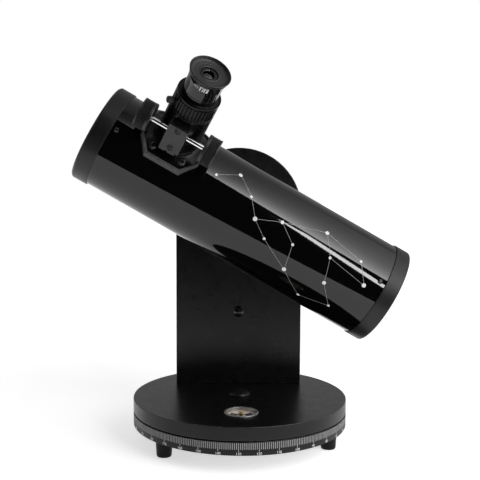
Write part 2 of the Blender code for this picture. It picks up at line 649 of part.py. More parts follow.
def make_focuser_screws(housing, shell, frame):
    """Four screws through the flange's corners into the tube, square to the tube's surface."""
    seat = TUBE_RADIUS + GAP + 1.8 + GAP
    spread = math.degrees(26 / (TUBE_RADIUS + 2))
    number = 0
    for x in (-16.6, 16.6):
        for angle in (-spread, spread):
            number += 1
            turn = around_tube(angle)
            hole = cylinder_cutter(f"flange_screw_hole_{number}", 1.9, 48, 56, frame, (x, 0, 0),
                                   steps=SCREW_STEPS, turn=turn)
            cut(housing, hole)
            cut(shell, hole)
            profile = [(r, z + seat) for r, z in screw_profile(3.9, 2.2, 1.6, 5.5)]
            turned(f"focuser_screw_{number}", profile, BLACK_STEEL, frame, (x, 0, 0), steps=SCREW_STEPS,
                   turn=turn)


def make_pinion_cover(housing, frame):
    plate = block("pinion_cover", (-BOSS_HALF_WIDTH - 0.5, BOSS_FACE + GAP, COVER_BOTTOM),
                  (BOSS_HALF_WIDTH + 0.5, COVER_FACE, COVER_TOP), BLACK_PLASTIC, frame)
    bevel = plate.modifiers.new("Edges", "BEVEL")
    bevel.width = 0.5 * MM
    bevel.segments = 1
    for number, z in enumerate((64.2, 87.5), start=1):
        hole = cylinder_cutter(f"cover_screw_hole_{number}", 1.7, 24, 34, frame, (0, 0, z), "Y",
                               SCREW_STEPS)
        cut(plate, hole)
        cut(housing, hole)
        turned(f"cover_screw_{number}", screw_profile(3, 1.8, 1.4, 7), BLACK_STEEL, frame,
               (0, COVER_FACE + GAP, z), "Y", SCREW_STEPS)


def gear_outline():
    """The pinion, with the middle of a gap at -Y where the rack's tooth is."""
    pitch = 2 * math.pi / PINION_TEETH
    outline = []
    for tooth in range(PINION_TEETH):
        middle = -math.pi / 2 + pitch * (tooth + 0.5)
        for radius, half_angle in ((2.2, -0.27), (3.6, -0.07), (3.6, 0.07), (2.2, 0.27)):
            turn = middle + half_angle
            outline.append((radius * math.cos(turn), radius * math.sin(turn)))
    return outline


def make_pinion(frame):
    """The chrome shaft with the pinion cut in it, and a knob on each end."""
    end = FOCUS_KNOB_FAR - 3
    shaft = turned("pinion_shaft", [
        (0, end), (SHAFT_RADIUS, end), (SHAFT_RADIUS, PINION_HALF_LENGTH + 0.2),
        (2, PINION_HALF_LENGTH + 0.2), (2, -PINION_HALF_LENGTH - 0.2),
        (SHAFT_RADIUS, -PINION_HALF_LENGTH - 0.2), (SHAFT_RADIUS, -end), (0, -end),
    ], CHROME, frame, axis="X", steps=SMALL_STEPS)
    gear = prism("pinion_teeth", [gear_outline()], -PINION_HALF_LENGTH, PINION_HALF_LENGTH, None, frame,
                 turn=(math.pi / 2, 0, math.pi / 2))
    join(shaft, gear)
    bore = SHAFT_RADIUS + GAP
    near, far = FOCUS_KNOB_NEAR, FOCUS_KNOB_FAR
    radius = FOCUS_KNOB_RADIUS
    for side, axis in (("front", "X"), ("rear", "-X")):
        turned(f"focus_knob_{side}", [
            (0, far), (radius - 1, far), (radius, far - 1), (radius, near + 1), (radius - 1, near),
            (bore, near), (bore, end + GAP), (0, end + GAP),
        ], DARK_RUBBER, frame, axis=axis)


def rack_outline():
    """Teeth along the rack, with the middle of one opposite the pinion's middle. X is along it."""
    pitch = math.pi * 2 * PINION_PITCH_RADIUS / PINION_TEETH
    pitch_line = SHAFT_Y - PINION_PITCH_RADIUS
    root, tip = pitch_line - 0.9, pitch_line + 0.5
    bottom, top = DRAWTUBE_BOTTOM + 1, HOUSING_TOP - 2.5
    first = math.ceil((bottom + 1 - SHAFT_Z) / pitch)
    last = math.floor((top - 1 - SHAFT_Z) / pitch)
    outline = [(top, DRAWTUBE_RADIUS - 0.7), (bottom, DRAWTUBE_RADIUS - 0.7), (bottom, root)]
    for tooth in range(first, last + 1):
        middle = SHAFT_Z + tooth * pitch
        outline += [(middle - 0.62, root), (middle - 0.22, tip), (middle + 0.22, tip), (middle + 0.62, root)]
    return outline + [(top, root)]


def make_drawtube(frame):
    """The drawtube with its moulded rack, the collar on it, and the screw that holds an eyepiece."""
    drawtube = turned("drawtube", [
        (BORE_RADIUS, DRAWTUBE_TOP), (DRAWTUBE_RADIUS, DRAWTUBE_TOP),
        (DRAWTUBE_RADIUS, DRAWTUBE_BOTTOM), (BORE_RADIUS, DRAWTUBE_BOTTOM),
    ], BLACK_PLASTIC, frame)
    half = RACK_WIDTH / 2
    join(drawtube, prism("rack", [rack_outline()], -half, half, None, frame, turn=(0, -math.pi / 2, 0)))
    collar = turned("eyepiece_collar", [
        (0, COLLAR_TOP), (COLLAR_RADIUS - 0.6, COLLAR_TOP), (COLLAR_RADIUS, COLLAR_TOP - 0.6),
        (COLLAR_RADIUS, COLLAR_BOTTOM + 0.6), (COLLAR_RADIUS - 0.6, COLLAR_BOTTOM), (0, COLLAR_BOTTOM),
    ], BLACK_PLASTIC, frame, steps=32)
    cut(collar, cylinder_cutter("collar_bore", BORE_RADIUS, 90, 120, frame, steps=MID_STEPS))
    cut(collar, cylinder_cutter("collar_socket", DRAWTUBE_RADIUS + GAP, 90, DRAWTUBE_TOP + GAP, frame,
                                steps=MID_STEPS))
    turn = Matrix.Rotation(THUMBSCREW_ANGLE, 4, "Z") @ Matrix.Rotation(math.pi / 2, 4, "Y")
    screw_frame = new_frame("thumbscrew_frame", frame, (0, 0, THUMBSCREW_Z), turn)
    cut(collar, cylinder_cutter("thumbscrew_thread", 1.8, 10, 30, screw_frame, steps=SCREW_STEPS))
    turned("eyepiece_thumbscrew", [
        (0, 30.2), (2.8, 30.2), (3.5, 29.5), (3.5, 24.9), (2.8, 24.2), (1.5, 24.2), (1.5, 16), (0, 16),
    ], BLACK_PLASTIC, screw_frame, steps=SMALL_STEPS)


def make_eyepiece(frame):
    """A 1.25 inch eyepiece: barrel, body, two lenses and a flared rubber eyecup."""
    seat = COLLAR_TOP + GAP
    barrel_top = seat + 7
    turned("eyepiece_barrel", [
        (13.9, barrel_top), (BARREL_RADIUS, barrel_top), (BARREL_RADIUS, 93), (13.9, 93),
    ], CHROME, frame)
    socket = BARREL_RADIUS + GAP
    cup_seat = 14.0
    turned("eyepiece_body", [
        (9.2, 142), (cup_seat, 142), (cup_seat, 141.2), (19.5, 141.2), (18.9, 139.5), (18.2, 134.5),
        (EYEPIECE_RADIUS, 131), (EYEPIECE_RADIUS, seat + 0.6),
        (EYEPIECE_RADIUS - 0.6, seat), (socket, seat), (socket, barrel_top + GAP),
        (9.2, barrel_top + GAP),
    ], GLOSS_BLACK, frame, steps=32)
    turned("field_lens", [
        (0, 114), (8, 113.2), (13.5, 111.6), (13.5, 109.5), (0, 109.5),
    ], GLASS, frame)
    turned("eye_lens", [
        (0, 140.6), (4, 140.2), (8.8, 138.9), (8.8, 136.5), (0, 136.5),
    ], GLASS, frame, steps=SMALL_STEPS)
    cup_inside = cup_seat + GAP
    turned("eyecup", [
        (9, 142.9), (16.5, 143.3), (19.7, EYECUP_TOP - 0.2), (20.6, EYECUP_TOP),
        (EYECUP_RADIUS, EYECUP_TOP - 0.6), (19.6, 141.5), (cup_inside, 141.5),
        (cup_inside, 142.3), (9, 142.3),
    ], DARK_RUBBER, frame, steps=32)


def apply_modifiers():
    """Turns each part into its finished mesh, smooth on its round faces and sharp at its edges."""
    graph = bpy.context.evaluated_depsgraph_get()
    finished = {}
    for obj in PARTS.objects:
        if obj.type == "MESH":
            finished[obj] = bpy.data.meshes.new_from_object(obj.evaluated_get(graph))
    for obj, mesh in finished.items():
        obj.modifiers.clear()
        obj.data = mesh
        mesh.name = obj.name
        mesh.shade_smooth()
        mesh.set_sharp_from_angle(angle=SHARP_ANGLE)


def main():
    ground = new_frame("ground_frame", at=AZIMUTH_AXIS)
    make_ground_base(ground)
    turntable = new_frame("turntable_frame", at=AZIMUTH_AXIS)
    make_turntable(turntable)
    lift = Matrix.Rotation(TUBE_ELEVATION, 4, "Y") @ Matrix.Rotation(math.pi, 4, "Z")
    tube = new_frame("tube_frame", turntable, (0, TUBE_Y, ALTITUDE_HEIGHT), lift)
    make_altitude_pivot(tube)
    make_tube(tube)
    make_optics(tube)
    focuser = new_frame("focuser_frame", tube, (FOCUSER_X, 0, 0), Matrix.Rotation(-FOCUSER_ANGLE, 4, "X"))
    make_focuser_housing(focuser, bpy.data.objects["tube_shell"])
    make_pinion(new_frame("pinion_frame", focuser, (0, SHAFT_Y, SHAFT_Z)))
    make_drawtube(focuser)
    make_eyepiece(focuser)
    bpy.context.view_layer.update()
    apply_modifiers()


clear_scene()
PARTS = new_collection("newtonian_reflector_telescope")
CUTTERS = new_collection("cutters")
main()
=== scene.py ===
"""Looks for the tabletop Newtonian reflector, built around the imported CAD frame.

Pieces are modelled in millimetres in a local space of their own, then placed by
the frame's joints and boxes. The feet stand on Z = 0.
"""
import json
import math

import bmesh
import bpy
from mathutils import Matrix, Vector


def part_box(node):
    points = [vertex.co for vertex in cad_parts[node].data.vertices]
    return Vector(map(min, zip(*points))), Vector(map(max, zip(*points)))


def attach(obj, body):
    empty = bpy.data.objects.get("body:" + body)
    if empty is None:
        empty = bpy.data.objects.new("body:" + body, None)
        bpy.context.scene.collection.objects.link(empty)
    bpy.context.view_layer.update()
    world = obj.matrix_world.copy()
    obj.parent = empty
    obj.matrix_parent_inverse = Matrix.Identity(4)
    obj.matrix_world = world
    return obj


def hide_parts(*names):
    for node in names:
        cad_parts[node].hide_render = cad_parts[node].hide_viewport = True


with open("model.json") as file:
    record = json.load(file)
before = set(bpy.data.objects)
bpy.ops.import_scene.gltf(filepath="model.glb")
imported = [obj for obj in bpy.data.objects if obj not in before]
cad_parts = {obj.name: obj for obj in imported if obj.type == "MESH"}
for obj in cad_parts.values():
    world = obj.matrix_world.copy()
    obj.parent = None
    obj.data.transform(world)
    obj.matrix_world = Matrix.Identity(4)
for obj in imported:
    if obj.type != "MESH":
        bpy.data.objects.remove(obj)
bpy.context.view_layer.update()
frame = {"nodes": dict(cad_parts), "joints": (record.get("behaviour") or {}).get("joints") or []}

MM = 0.001
GAP = 0.3
ROUND_STEPS = 4
SHARP = math.radians(38)
FINE = 144
MEDIUM = 96
SMALL = 40

# ---- spaces, all read from the frame's joints ----

JOINTS = {joint["name"]: joint for joint in frame["joints"]}


def joint_point(name):
    return Vector(JOINTS[name]["pos_m"])


def joint_axis(name):
    return Vector(JOINTS[name]["axis"]).normalized()


def space(origin, x, y, z):
    """A frame whose local X, Y and Z run along three directions."""
    turn = Matrix((x, y, z)).transposed().to_4x4()
    return Matrix.Translation(origin) @ turn


def shifted(where, x=0.0, y=0.0, z=0.0):
    return where @ Matrix.Translation((x * MM, y * MM, z * MM))


X, Y, Z = Vector((1, 0, 0)), Vector((0, 1, 0)), Vector((0, 0, 1))
ALTITUDE_POINT = joint_point("altitude")
ALONG = -joint_axis("focus_turn")
NEAR = -Y
ABOVE = ALONG.cross(NEAR)
OUT = joint_axis("drawtube_slide")
ACROSS = OUT.cross(ALONG)
FOCUS_POINT = ALTITUDE_POINT + ALONG * (joint_point("focus_turn") - ALTITUDE_POINT).dot(ALONG)

HERE = Matrix()
BASE = Matrix.Translation((joint_point("azimuth").x, joint_point("azimuth").y, 0))
TUBE = space(ALTITUDE_POINT, NEAR, ABOVE, ALONG)
FOCUSER = space(FOCUS_POINT, ALONG, ACROSS, OUT)
SHAFT = space(joint_point("focus_turn"), ACROSS, OUT, ALONG)
THUMB_AXIS = joint_axis("thumbscrew_turn")
THUMBSCREW = space(joint_point("thumbscrew_turn"), OUT, THUMB_AXIS.cross(OUT), THUMB_AXIS)
BOARD_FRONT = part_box("upright_board")[0].y / MM
BOARD_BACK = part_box("upright_board")[1].y / MM
BOLT_HEIGHT = (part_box("board_bolt")[0].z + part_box("board_bolt")[1].z) / 2 / MM
ALTITUDE_HEIGHT = ALTITUDE_POINT.z / MM
TUBE_Y = ALTITUDE_POINT.y / MM
FOCUS_X = (FOCUS_POINT - ALTITUDE_POINT).length / MM


def facing_back(y, z):
    """A space on the upright with its Z pointing to the back."""
    return space((0, y * MM, z * MM), X, -Z, Y)


def facing_front(y, z):
    return space((0, y * MM, z * MM), X, Z, -Y)


# ---- node materials ----

CLOUD_SCALE, SHEEN_VARY = 35, 0.07


class Tree:
    """A short way to write a node tree."""

    def __init__(self, tree):
        self.tree = tree

    def add(self, kind, **inputs):
        node = self.tree.nodes.new(kind)
        for key, value in inputs.items():
            self.feed(node.inputs[key.replace("_", " ")], value)
        return node

    def feed(self, socket, value):
        if isinstance(value, bpy.types.NodeSocket):
            self.tree.links.new(value, socket)
        elif value is not None:
            socket.default_value = value

    def spread(self, value, low, high, start=0.3, end=0.7, curve="LINEAR"):
        """Maps a value from start..end to low..high, in a straight line or another curve."""
        node = self.add("ShaderNodeMapRange")
        node.interpolation_type = curve
        for index, number in enumerate((value, start, end, low, high)):
            self.feed(node.inputs[index], number)
        return node.outputs["Result"]

    def maths(self, operation, a, b):
        node = self.add("ShaderNodeMath")
        node.operation = operation
        self.feed(node.inputs[0], a)
        self.feed(node.inputs[1], b)
        return node.outputs[0]

    def mix(self, factor, a, b):
        node = self.add("ShaderNodeMix")
        node.data_type = "RGBA"
        self.feed(node.inputs[0], factor)
        self.feed(node.inputs[6], a)
        self.feed(node.inputs[7], b)
        return node.outputs[2]

    def apart(self, vector):
        return self.add("ShaderNodeSeparateXYZ", Vector=vector).outputs


class Nodes(Tree):
    """A material's node tree."""

    def __init__(self, name):
        self.material = bpy.data.materials.new(name)
        self.material.use_nodes = True
        super().__init__(self.material.node_tree)
        self.shader = self.tree.nodes["Principled BSDF"]
        self.place = self.add("ShaderNodeTexCoord").outputs["Object"]

    def noise(self, scale, detail=3.0, stretch=None):
        place = self.place
        if stretch:
            place = self.add("ShaderNodeMapping", Vector=place, Scale=stretch).outputs["Vector"]
        return self.add("ShaderNodeTexNoise", Vector=place, Scale=scale, Detail=detail).outputs["Fac"]

    def bump(self, height, distance):
        node = self.add("ShaderNodeBump", Height=height, Distance=distance, Strength=1.0)
        return node.outputs["Normal"]

    def edges(self):
        """1 on a piece's rounded edges and 0 on its faces."""
        node = self.add("ShaderNodeAttribute")
        node.attribute_name = "edge"
        return node.outputs["Fac"]

    def set(self, **inputs):
        for key, value in inputs.items():
            self.feed(self.shader.inputs[key.replace("_", " ")], value)


def grey(value, warm=0.0):
    return (value * (1 + warm), value, value * (1 - warm), 1.0)


def moulded(name, colour, lighter, roughness, grain=1600, depth=0.00003, wear=None,
            metallic=0.0, specular=0.5):
    """Plastic, rubber or paint with a fine grain, uneven sheen, and rubbed edges."""
    nodes = Nodes(name)
    fine = nodes.noise(grain, 4.0)
    cloud = nodes.noise(CLOUD_SCALE, 3.0)
    base = nodes.mix(nodes.spread(cloud, 0.0, 1.0), colour, lighter)
    if wear:
        scuffs = nodes.spread(nodes.noise(260, 2.0), 0.0, 1.0, 0.42, 0.6)
        base = nodes.mix(nodes.maths("MULTIPLY", nodes.edges(), scuffs), base, wear)
    speckle = nodes.spread(fine, -0.5, 0.5)
    sheen = nodes.spread(cloud, roughness - SHEEN_VARY, roughness + SHEEN_VARY)
    rough = nodes.maths("ADD", sheen, nodes.maths("MULTIPLY", speckle, SHEEN_VARY))
    nodes.set(Base_Color=base, Roughness=rough, Metallic=metallic, Specular_IOR_Level=specular,
              Normal=nodes.bump(fine, depth))
    return nodes.material


def laminate(name):
    """Black laminated board: a fine leathery grain with a soft, slightly uneven sheen."""
    nodes = Nodes(name)
    pores = nodes.noise(1400, 3.0)
    streaks = nodes.noise(120, 2.0, (1.0, 1.0, 0.25))
    base = nodes.mix(nodes.spread(streaks, 0.0, 1.0), grey(0.003), grey(0.005))
    rubbed = nodes.maths("MULTIPLY", nodes.edges(), nodes.spread(nodes.noise(180, 2.0), 0.2, 1.0, 0.4, 0.62))
    base = nodes.mix(rubbed, base, grey(0.05))
    rough = nodes.spread(streaks, 0.27, 0.33)
    nodes.set(Base_Color=base, Roughness=rough, Specular_IOR_Level=0.45, Normal=nodes.bump(pores, 0.00003))
    return nodes.material


def gloss_paint(name, colour, lighter):
    """Sprayed gloss paint under clear lacquer, with a faint orange peel and fine dust."""
    nodes = Nodes(name)
    peel = nodes.noise(260, 1.0)
    dust = nodes.spread(nodes.noise(2600, 2.0), 0.0, 1.0, 0.70, 0.78)
    base = nodes.mix(dust, colour, lighter)
    haze = nodes.spread(nodes.noise(22, 3.0), 0.03, 0.06)
    nodes.set(Base_Color=base, Roughness=haze, Specular_IOR_Level=0.5,
              Normal=nodes.bump(peel, 0.000012))
    return nodes.material


def plated(name, colour, roughness, wear=None):
    """Bare or plated metal with fine polishing lines and finger marks."""
    nodes = Nodes(name)
    lines = nodes.noise(900, 3.0)
    smudge = nodes.noise(60, 4.0)
    tint = tuple(c * 0.86 for c in colour[:3]) + (1.0,)
    base = nodes.mix(nodes.spread(smudge, 0.0, 1.0), tint, colour)
    if wear:
        base = nodes.mix(nodes.maths("MULTIPLY", nodes.edges(), 0.6), base, wear)
    rough = nodes.spread(smudge, roughness * 0.7, roughness * 1.5)
    nodes.set(Base_Color=base, Roughness=rough, Metallic=1.0, Normal=nodes.bump(lines, 0.000008))
    return nodes.material


def clear(name, tint, roughness=0.01, coat=0.0, see_through=1.0):
    """Glass or acrylic with faint smears. A see_through below 1 makes a thin sheet that bends no light."""
    nodes = Nodes(name)
    smear = nodes.spread(nodes.noise(90, 4.0), roughness, roughness + 0.05)
    nodes.set(Base_Color=tint, Roughness=smear, Transmission_Weight=float(see_through == 1.0), IOR=1.5,
              Coat_Weight=coat, Alpha=see_through)
    return nodes.material


def printed(name, colour, darker, roughness=0.5):
    """Ink or enamel laid on a surface, a little uneven in cover."""
    nodes = Nodes(name)
    cover = nodes.spread(nodes.noise(900, 3.0), 0.0, 1.0, 0.25, 0.5)
    nodes.set(Base_Color=nodes.mix(cover, darker, colour),
              Roughness=nodes.spread(cover, roughness + 0.1, roughness))
    return nodes.material


LAMINATE = laminate("black_laminate")
EDGE_BAND = moulded("board_edge_band", grey(0.003), grey(0.005), 0.36, wear=grey(0.03), specular=0.28)
TICK_INK = printed("tick_ink", grey(0.34), grey(0.22))
GLOSS = gloss_paint("tube_gloss_paint", grey(0.0015), grey(0.006))
INSIDE = moulded("tube_inside_black", grey(0.008), grey(0.014), 0.85)
SATIN = moulded("satin_black_plastic", grey(0.005), grey(0.009), 0.38, wear=grey(0.04), specular=0.38)
FOCUS_BLACK = moulded("focuser_black_plastic", grey(0.003), grey(0.005), 0.2, grain=1100, wear=grey(0.02),
                     specular=0.2)
KNURL_BLACK = moulded("knurled_black_plastic", grey(0.008), grey(0.014), 0.4, grain=1800, wear=grey(0.08))
RUBBER = moulded("eyecup_rubber", grey(0.012), grey(0.018), 0.4, grain=2200, depth=0.00002)
COVER = moulded("cover_plate_plastic", grey(0.022), grey(0.03), 0.5, grain=1000, wear=grey(0.12))
# The flange's raised rim is a lighter grey than the rest of the focuser: a painted highlight on its bevel.
RIM_PAINTED_HIGHLIGHT = moulded("flange_rim_painted_highlight", grey(0.055), grey(0.068), 0.5, grain=1000, wear=grey(0.12))
FOOT_RUBBER = moulded("foot_rubber", grey(0.003), grey(0.006), 0.45, grain=900, wear=grey(0.02),
                     specular=0.15)
EYEPIECE_BLACK = gloss_paint("eyepiece_gloss_black", grey(0.004), grey(0.012))
STRIP = moulded("scale_strip_grey", grey(0.005), grey(0.008), 0.45, grain=1500, specular=0.25)
WHITE_INK = printed("white_ink", grey(0.80), grey(0.55))
STAR_INK = printed("star_ink", grey(0.86), grey(0.7), 0.3)
LINE_INK = printed("star_line_ink", grey(0.30), grey(0.2), 0.3)
BEARING = moulded("bearing_plastic", grey(0.62), grey(0.7), 0.35, grain=700)
ZINC = plated("zinc_steel", grey(0.62), 0.30, wear=grey(0.8))
DARK_STEEL = moulded("black_oxide_steel", grey(0.004), grey(0.009), 0.2, wear=grey(0.25))
CHROME = plated("chrome_plate", grey(0.86), 0.07)
MIRROR = plated("mirror_coating", grey(0.94), 0.015)
SILVER = moulded("compass_silver", grey(0.40, 0.02), grey(0.48, 0.02), 0.3, metallic=0.7, wear=grey(0.5))
CARD = printed("compass_card", (0.92, 0.84, 0.74, 1.0), (0.80, 0.70, 0.58, 1.0), 0.45)
CARD_INK = printed("compass_card_ink", grey(0.02), grey(0.05), 0.45)
BRASS = plated("brass", (0.78, 0.55, 0.22, 1.0), 0.25)
NEEDLE_TAN = printed("needle_tan", (0.60, 0.38, 0.12, 1.0), (0.42, 0.25, 0.07, 1.0), 0.35)
WINDOW = clear("compass_window", grey(0.02), see_through=0.06)
LENS = clear("lens_glass", (0.86, 0.93, 0.95, 1.0), 0.005, coat=0.5)

# The slot of each finish whose slot isn't named after its material.
SLOTS = {
    "tube_gloss_paint": "tube_gloss", "star_ink": "tube_gloss", "star_line_ink": "tube_gloss",
    "focuser_black_plastic": "focuser_plastic", "cover_plate_plastic": "focuser_plastic",
    "knurled_black_plastic": "satin_black_plastic", "eyepiece_gloss_black": "eyepiece_gloss",
    "scale_strip_grey": "scale_strip", "white_ink": "eyepiece_gloss", "tick_ink": "scale_strip",
    "black_oxide_steel": "black_steel", "mirror_coating": "mirror_coat", "compass_card_ink": "compass_card",
    "brass": "needle_paint", "needle_tan": "needle_paint", "compass_window": "compass_glass",
}


# ---- mesh building ----


def polar(radius, turn, *height):
    """The point at a bearing in radians, with its height if one is given."""
    return (radius * math.cos(turn), radius * math.sin(turn), *height)


def turned(degrees, axis="Z"):
    """The matrix of a turn about an axis."""
    return Matrix.Rotation(math.radians(degrees), 4, axis)


def rounded(profile, closed):
    """The profile's points with each stated corner radius turned into an arc.

    A point is (x, y) or (x, y, radius). The result is (x, y, edge), where edge is 1 in the
    middle of an arc and 0 at its ends.
    """
    made = []
    count = len(profile)
    for index, point in enumerate(profile):
        here = Vector(point[:2])
        radius = point[2] if len(point) > 2 else 0
        if not radius or (not closed and index in (0, count - 1)):
            made.append((here.x, here.y, 0.0))
            continue
        before = Vector(profile[index - 1][:2]) - here
        after = Vector(profile[(index + 1) % count][:2]) - here
        angle = before.angle(after)
        reach = min(radius / math.tan(angle / 2), before.length * 0.49, after.length * 0.49)
        start = here + before.normalized() * reach
        end = here + after.normalized() * reach
        for step in range(ROUND_STEPS + 1):
            t = step / ROUND_STEPS
            spot = start * (1 - t) ** 2 + here * 2 * t * (1 - t) + end * t ** 2
            made.append((spot.x, spot.y, math.sin(math.pi * t)))
    return made


def new_mesh(name, cage):
    """Finishes a bmesh in millimetres as a mesh in metres, smooth on its round faces."""
    bmesh.ops.recalc_face_normals(cage, faces=cage.faces)
    mesh = bpy.data.meshes.new(name)
    cage.to_mesh(mesh)
    cage.free()
    mesh.transform(Matrix.Scale(MM, 4))
    mesh.shade_smooth()
    mesh.set_sharp_from_angle(angle=SHARP)
    return mesh


def lathe_mesh(name, profile, steps=MEDIUM, ribs=None):
    """A turned shape about Z from (radius, height) points, outer side from top to bottom.

    ribs is (low, high, count, depth): grooves round the outside between two heights.
    """
    solid = profile[0][0] == 0 and profile[-1][0] == 0
    points = rounded(profile, closed=not solid)
    outermost = max(point[0] for point in points)
    cage = bmesh.new()
    edge_layer = cage.verts.layers.float.new("edge")
    rings = []
    for r, z, edge in points:
        if r == 0:
            rings.append([cage.verts.new((0, 0, z))])
            continue
        ring = []
        for step in range(steps):
            turn = 2 * math.pi * step / steps
            reach = r
            if ribs and ribs[0] <= z <= ribs[1] and r > outermost - 2.0:
                wave = 0.5 - 0.5 * math.cos(ribs[2] * turn)
                reach -= ribs[3] * wave ** 3
            vert = cage.verts.new(polar(reach, turn, z))
            vert[edge_layer] = edge
            ring.append(vert)
        rings.append(ring)
    pairs = list(zip(rings, rings[1:]))
    if not solid:
        pairs.append((rings[-1], rings[0]))
    for upper, lower in pairs:
        for step in range(steps):
            after = (step + 1) % steps
            corners = [upper[step % len(upper)], lower[step % len(lower)], lower[after % len(lower)],
                       upper[after % len(upper)]]
            unique = list(dict.fromkeys(corners))
            if len(unique) > 2:
                cage.faces.new(unique)
    return new_mesh(name, cage)


def slab_mesh(name, outline, low, high, rounding=0.5):
    """A flat outline thickened along Z, with its edges rounded."""
    cage = bmesh.new()
    edge_layer = cage.verts.layers.float.new("edge")
    bottom = cage.faces.new([cage.verts.new((x, y, low)) for x, y in outline])
    grown = bmesh.ops.extrude_face_region(cage, geom=[bottom])
    top = [item for item in grown["geom"] if isinstance(item, bmesh.types.BMVert)]
    bmesh.ops.translate(cage, verts=top, vec=(0, 0, high - low))
    bmesh.ops.recalc_face_normals(cage, faces=cage.faces)
    if rounding:
        corners = [edge for edge in cage.edges if edge.calc_face_angle(0) > math.radians(30)]
        result = bmesh.ops.bevel(cage, geom=corners, offset=rounding, segments=3, profile=0.5,
                                 affect="EDGES")
        strips = set(result["faces"])
        for vert in cage.verts:
            vert[edge_layer] = float(all(face in strips for face in vert.link_faces))
    return new_mesh(name, cage)


def box_mesh(name, low, high, rounding=0.4):
    outline = [(low[0], low[1]), (high[0], low[1]), (high[0], high[1]), (low[0], high[1])]
    return slab_mesh(name, outline, low[2], high[2], rounding)


def ring_points(radius, steps):
    turns = [2 * math.pi * step / steps for step in range(steps)]
    return [polar(radius, turn) for turn in turns]


def linked(name, data, where=HERE):
    """A new object in the scene."""
    obj = bpy.data.objects.new(name, data)
    bpy.context.scene.collection.objects.link(obj)
    obj.matrix_world = where
    return obj


def put(name, mesh, where, body, finish, stands_for=(), slot=None):
    """Places a mesh as a piece that rides on a body, with its finish."""
    kind = finish.name.split(".")[0]  # Blender numbers a name that a CAD material has already.
    slot = slot or SLOTS.get(kind, kind)
    obj = linked(name, mesh, where)
    if not mesh.materials:
        mesh.materials.append(finish)
    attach(obj, body)
    if stands_for:
        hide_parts(*stands_for)
    return obj


def solid(*details, **more):
    """A piece put in place, with normals weighted by its faces."""
    obj = put(*details, **more)
    obj.modifiers.new("Normals", "WEIGHTED_NORMAL").keep_sharp = True
    return obj


def combined(mesh, where, others, operation="DIFFERENCE"):
    """The mesh with other (mesh, space) solids cut from it or joined to it, as one new mesh."""
    host = linked("host", mesh, where)
    tools = [linked("tool", other, other_where) for other, other_where in others]
    for tool in tools:
        modifier = host.modifiers.new("Combine", "BOOLEAN")
        modifier.operation = operation
        modifier.object = tool
        modifier.solver = "EXACT"
    bpy.context.view_layer.update()
    graph = bpy.context.evaluated_depsgraph_get()
    made = bpy.data.meshes.new_from_object(host.evaluated_get(graph))
    for obj in (host, *tools):
        bpy.data.objects.remove(obj, do_unlink=True)
    made.name = mesh.name
    made.shade_smooth()
    made.set_sharp_from_angle(angle=SHARP)
    return made


def lathe(name, profile, where, body, finish, stands_for=(), steps=MEDIUM, slot=None):
    return solid(name, lathe_mesh(name, profile, steps), where, body, finish, stands_for, slot)


def rod_mesh(radius, low, high, steps=SMALL):
    return lathe_mesh("rod", [(0, high), (radius, high), (radius, low), (0, low)], steps)


def keep_cad(finish, *nodes):
    """A CAD node whose shape is right as it is gets the finish."""
    for node in nodes:
        mesh = frame["nodes"][node].data
        mesh.materials.clear()
        mesh.materials.append(finish)


# ---- fasteners ----


def cross_screw_mesh(name, radius, height, shank, length):
    """A pan-head screw with its seat at Z = 0 and a cross recess in its head."""
    body = lathe_mesh(name, [
        (0, height), (radius * 0.55, height, 1.0), (radius, height * 0.35, 0.6), (radius, 0), (shank, 0),
        (shank, -length), (0, -length),
    ], SMALL)
    slots = []
    reach, half = radius * 0.62, radius * 0.14
    for turn in (0, 90):
        slot = box_mesh("slot", (-reach, -half, height * 0.35), (reach, half, height + 1), 0)
        slots.append((slot, turned(turn)))
    return combined(body, HERE, slots)


def hex_nut_mesh(name, across, height, bore):
    nut = slab_mesh(name, ring_points(across / math.sqrt(3), 6), 0, height, 0.3)
    return combined(nut, HERE, [(rod_mesh(bore, -1, height + 1), HERE)])


# ---- base ----

BASE_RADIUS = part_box("turntable_board")[1].x / MM
BOARD_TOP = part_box("turntable_board")[1].z / MM
BOARD_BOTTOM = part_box("turntable_board")[0].z / MM
PLATE_BOTTOM, PLATE_TOP = (corner.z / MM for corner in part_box("base_plate"))
STRIP_BOTTOM, STRIP_TOP = (corner.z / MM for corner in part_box("azimuth_scale"))
PIVOT_BORE = 3.3
RECESS_RADIUS, RECESS_FLOOR = 9.5, 41.9
INK = 0.03
SCALE_START = 38
LABEL_STEP = 10


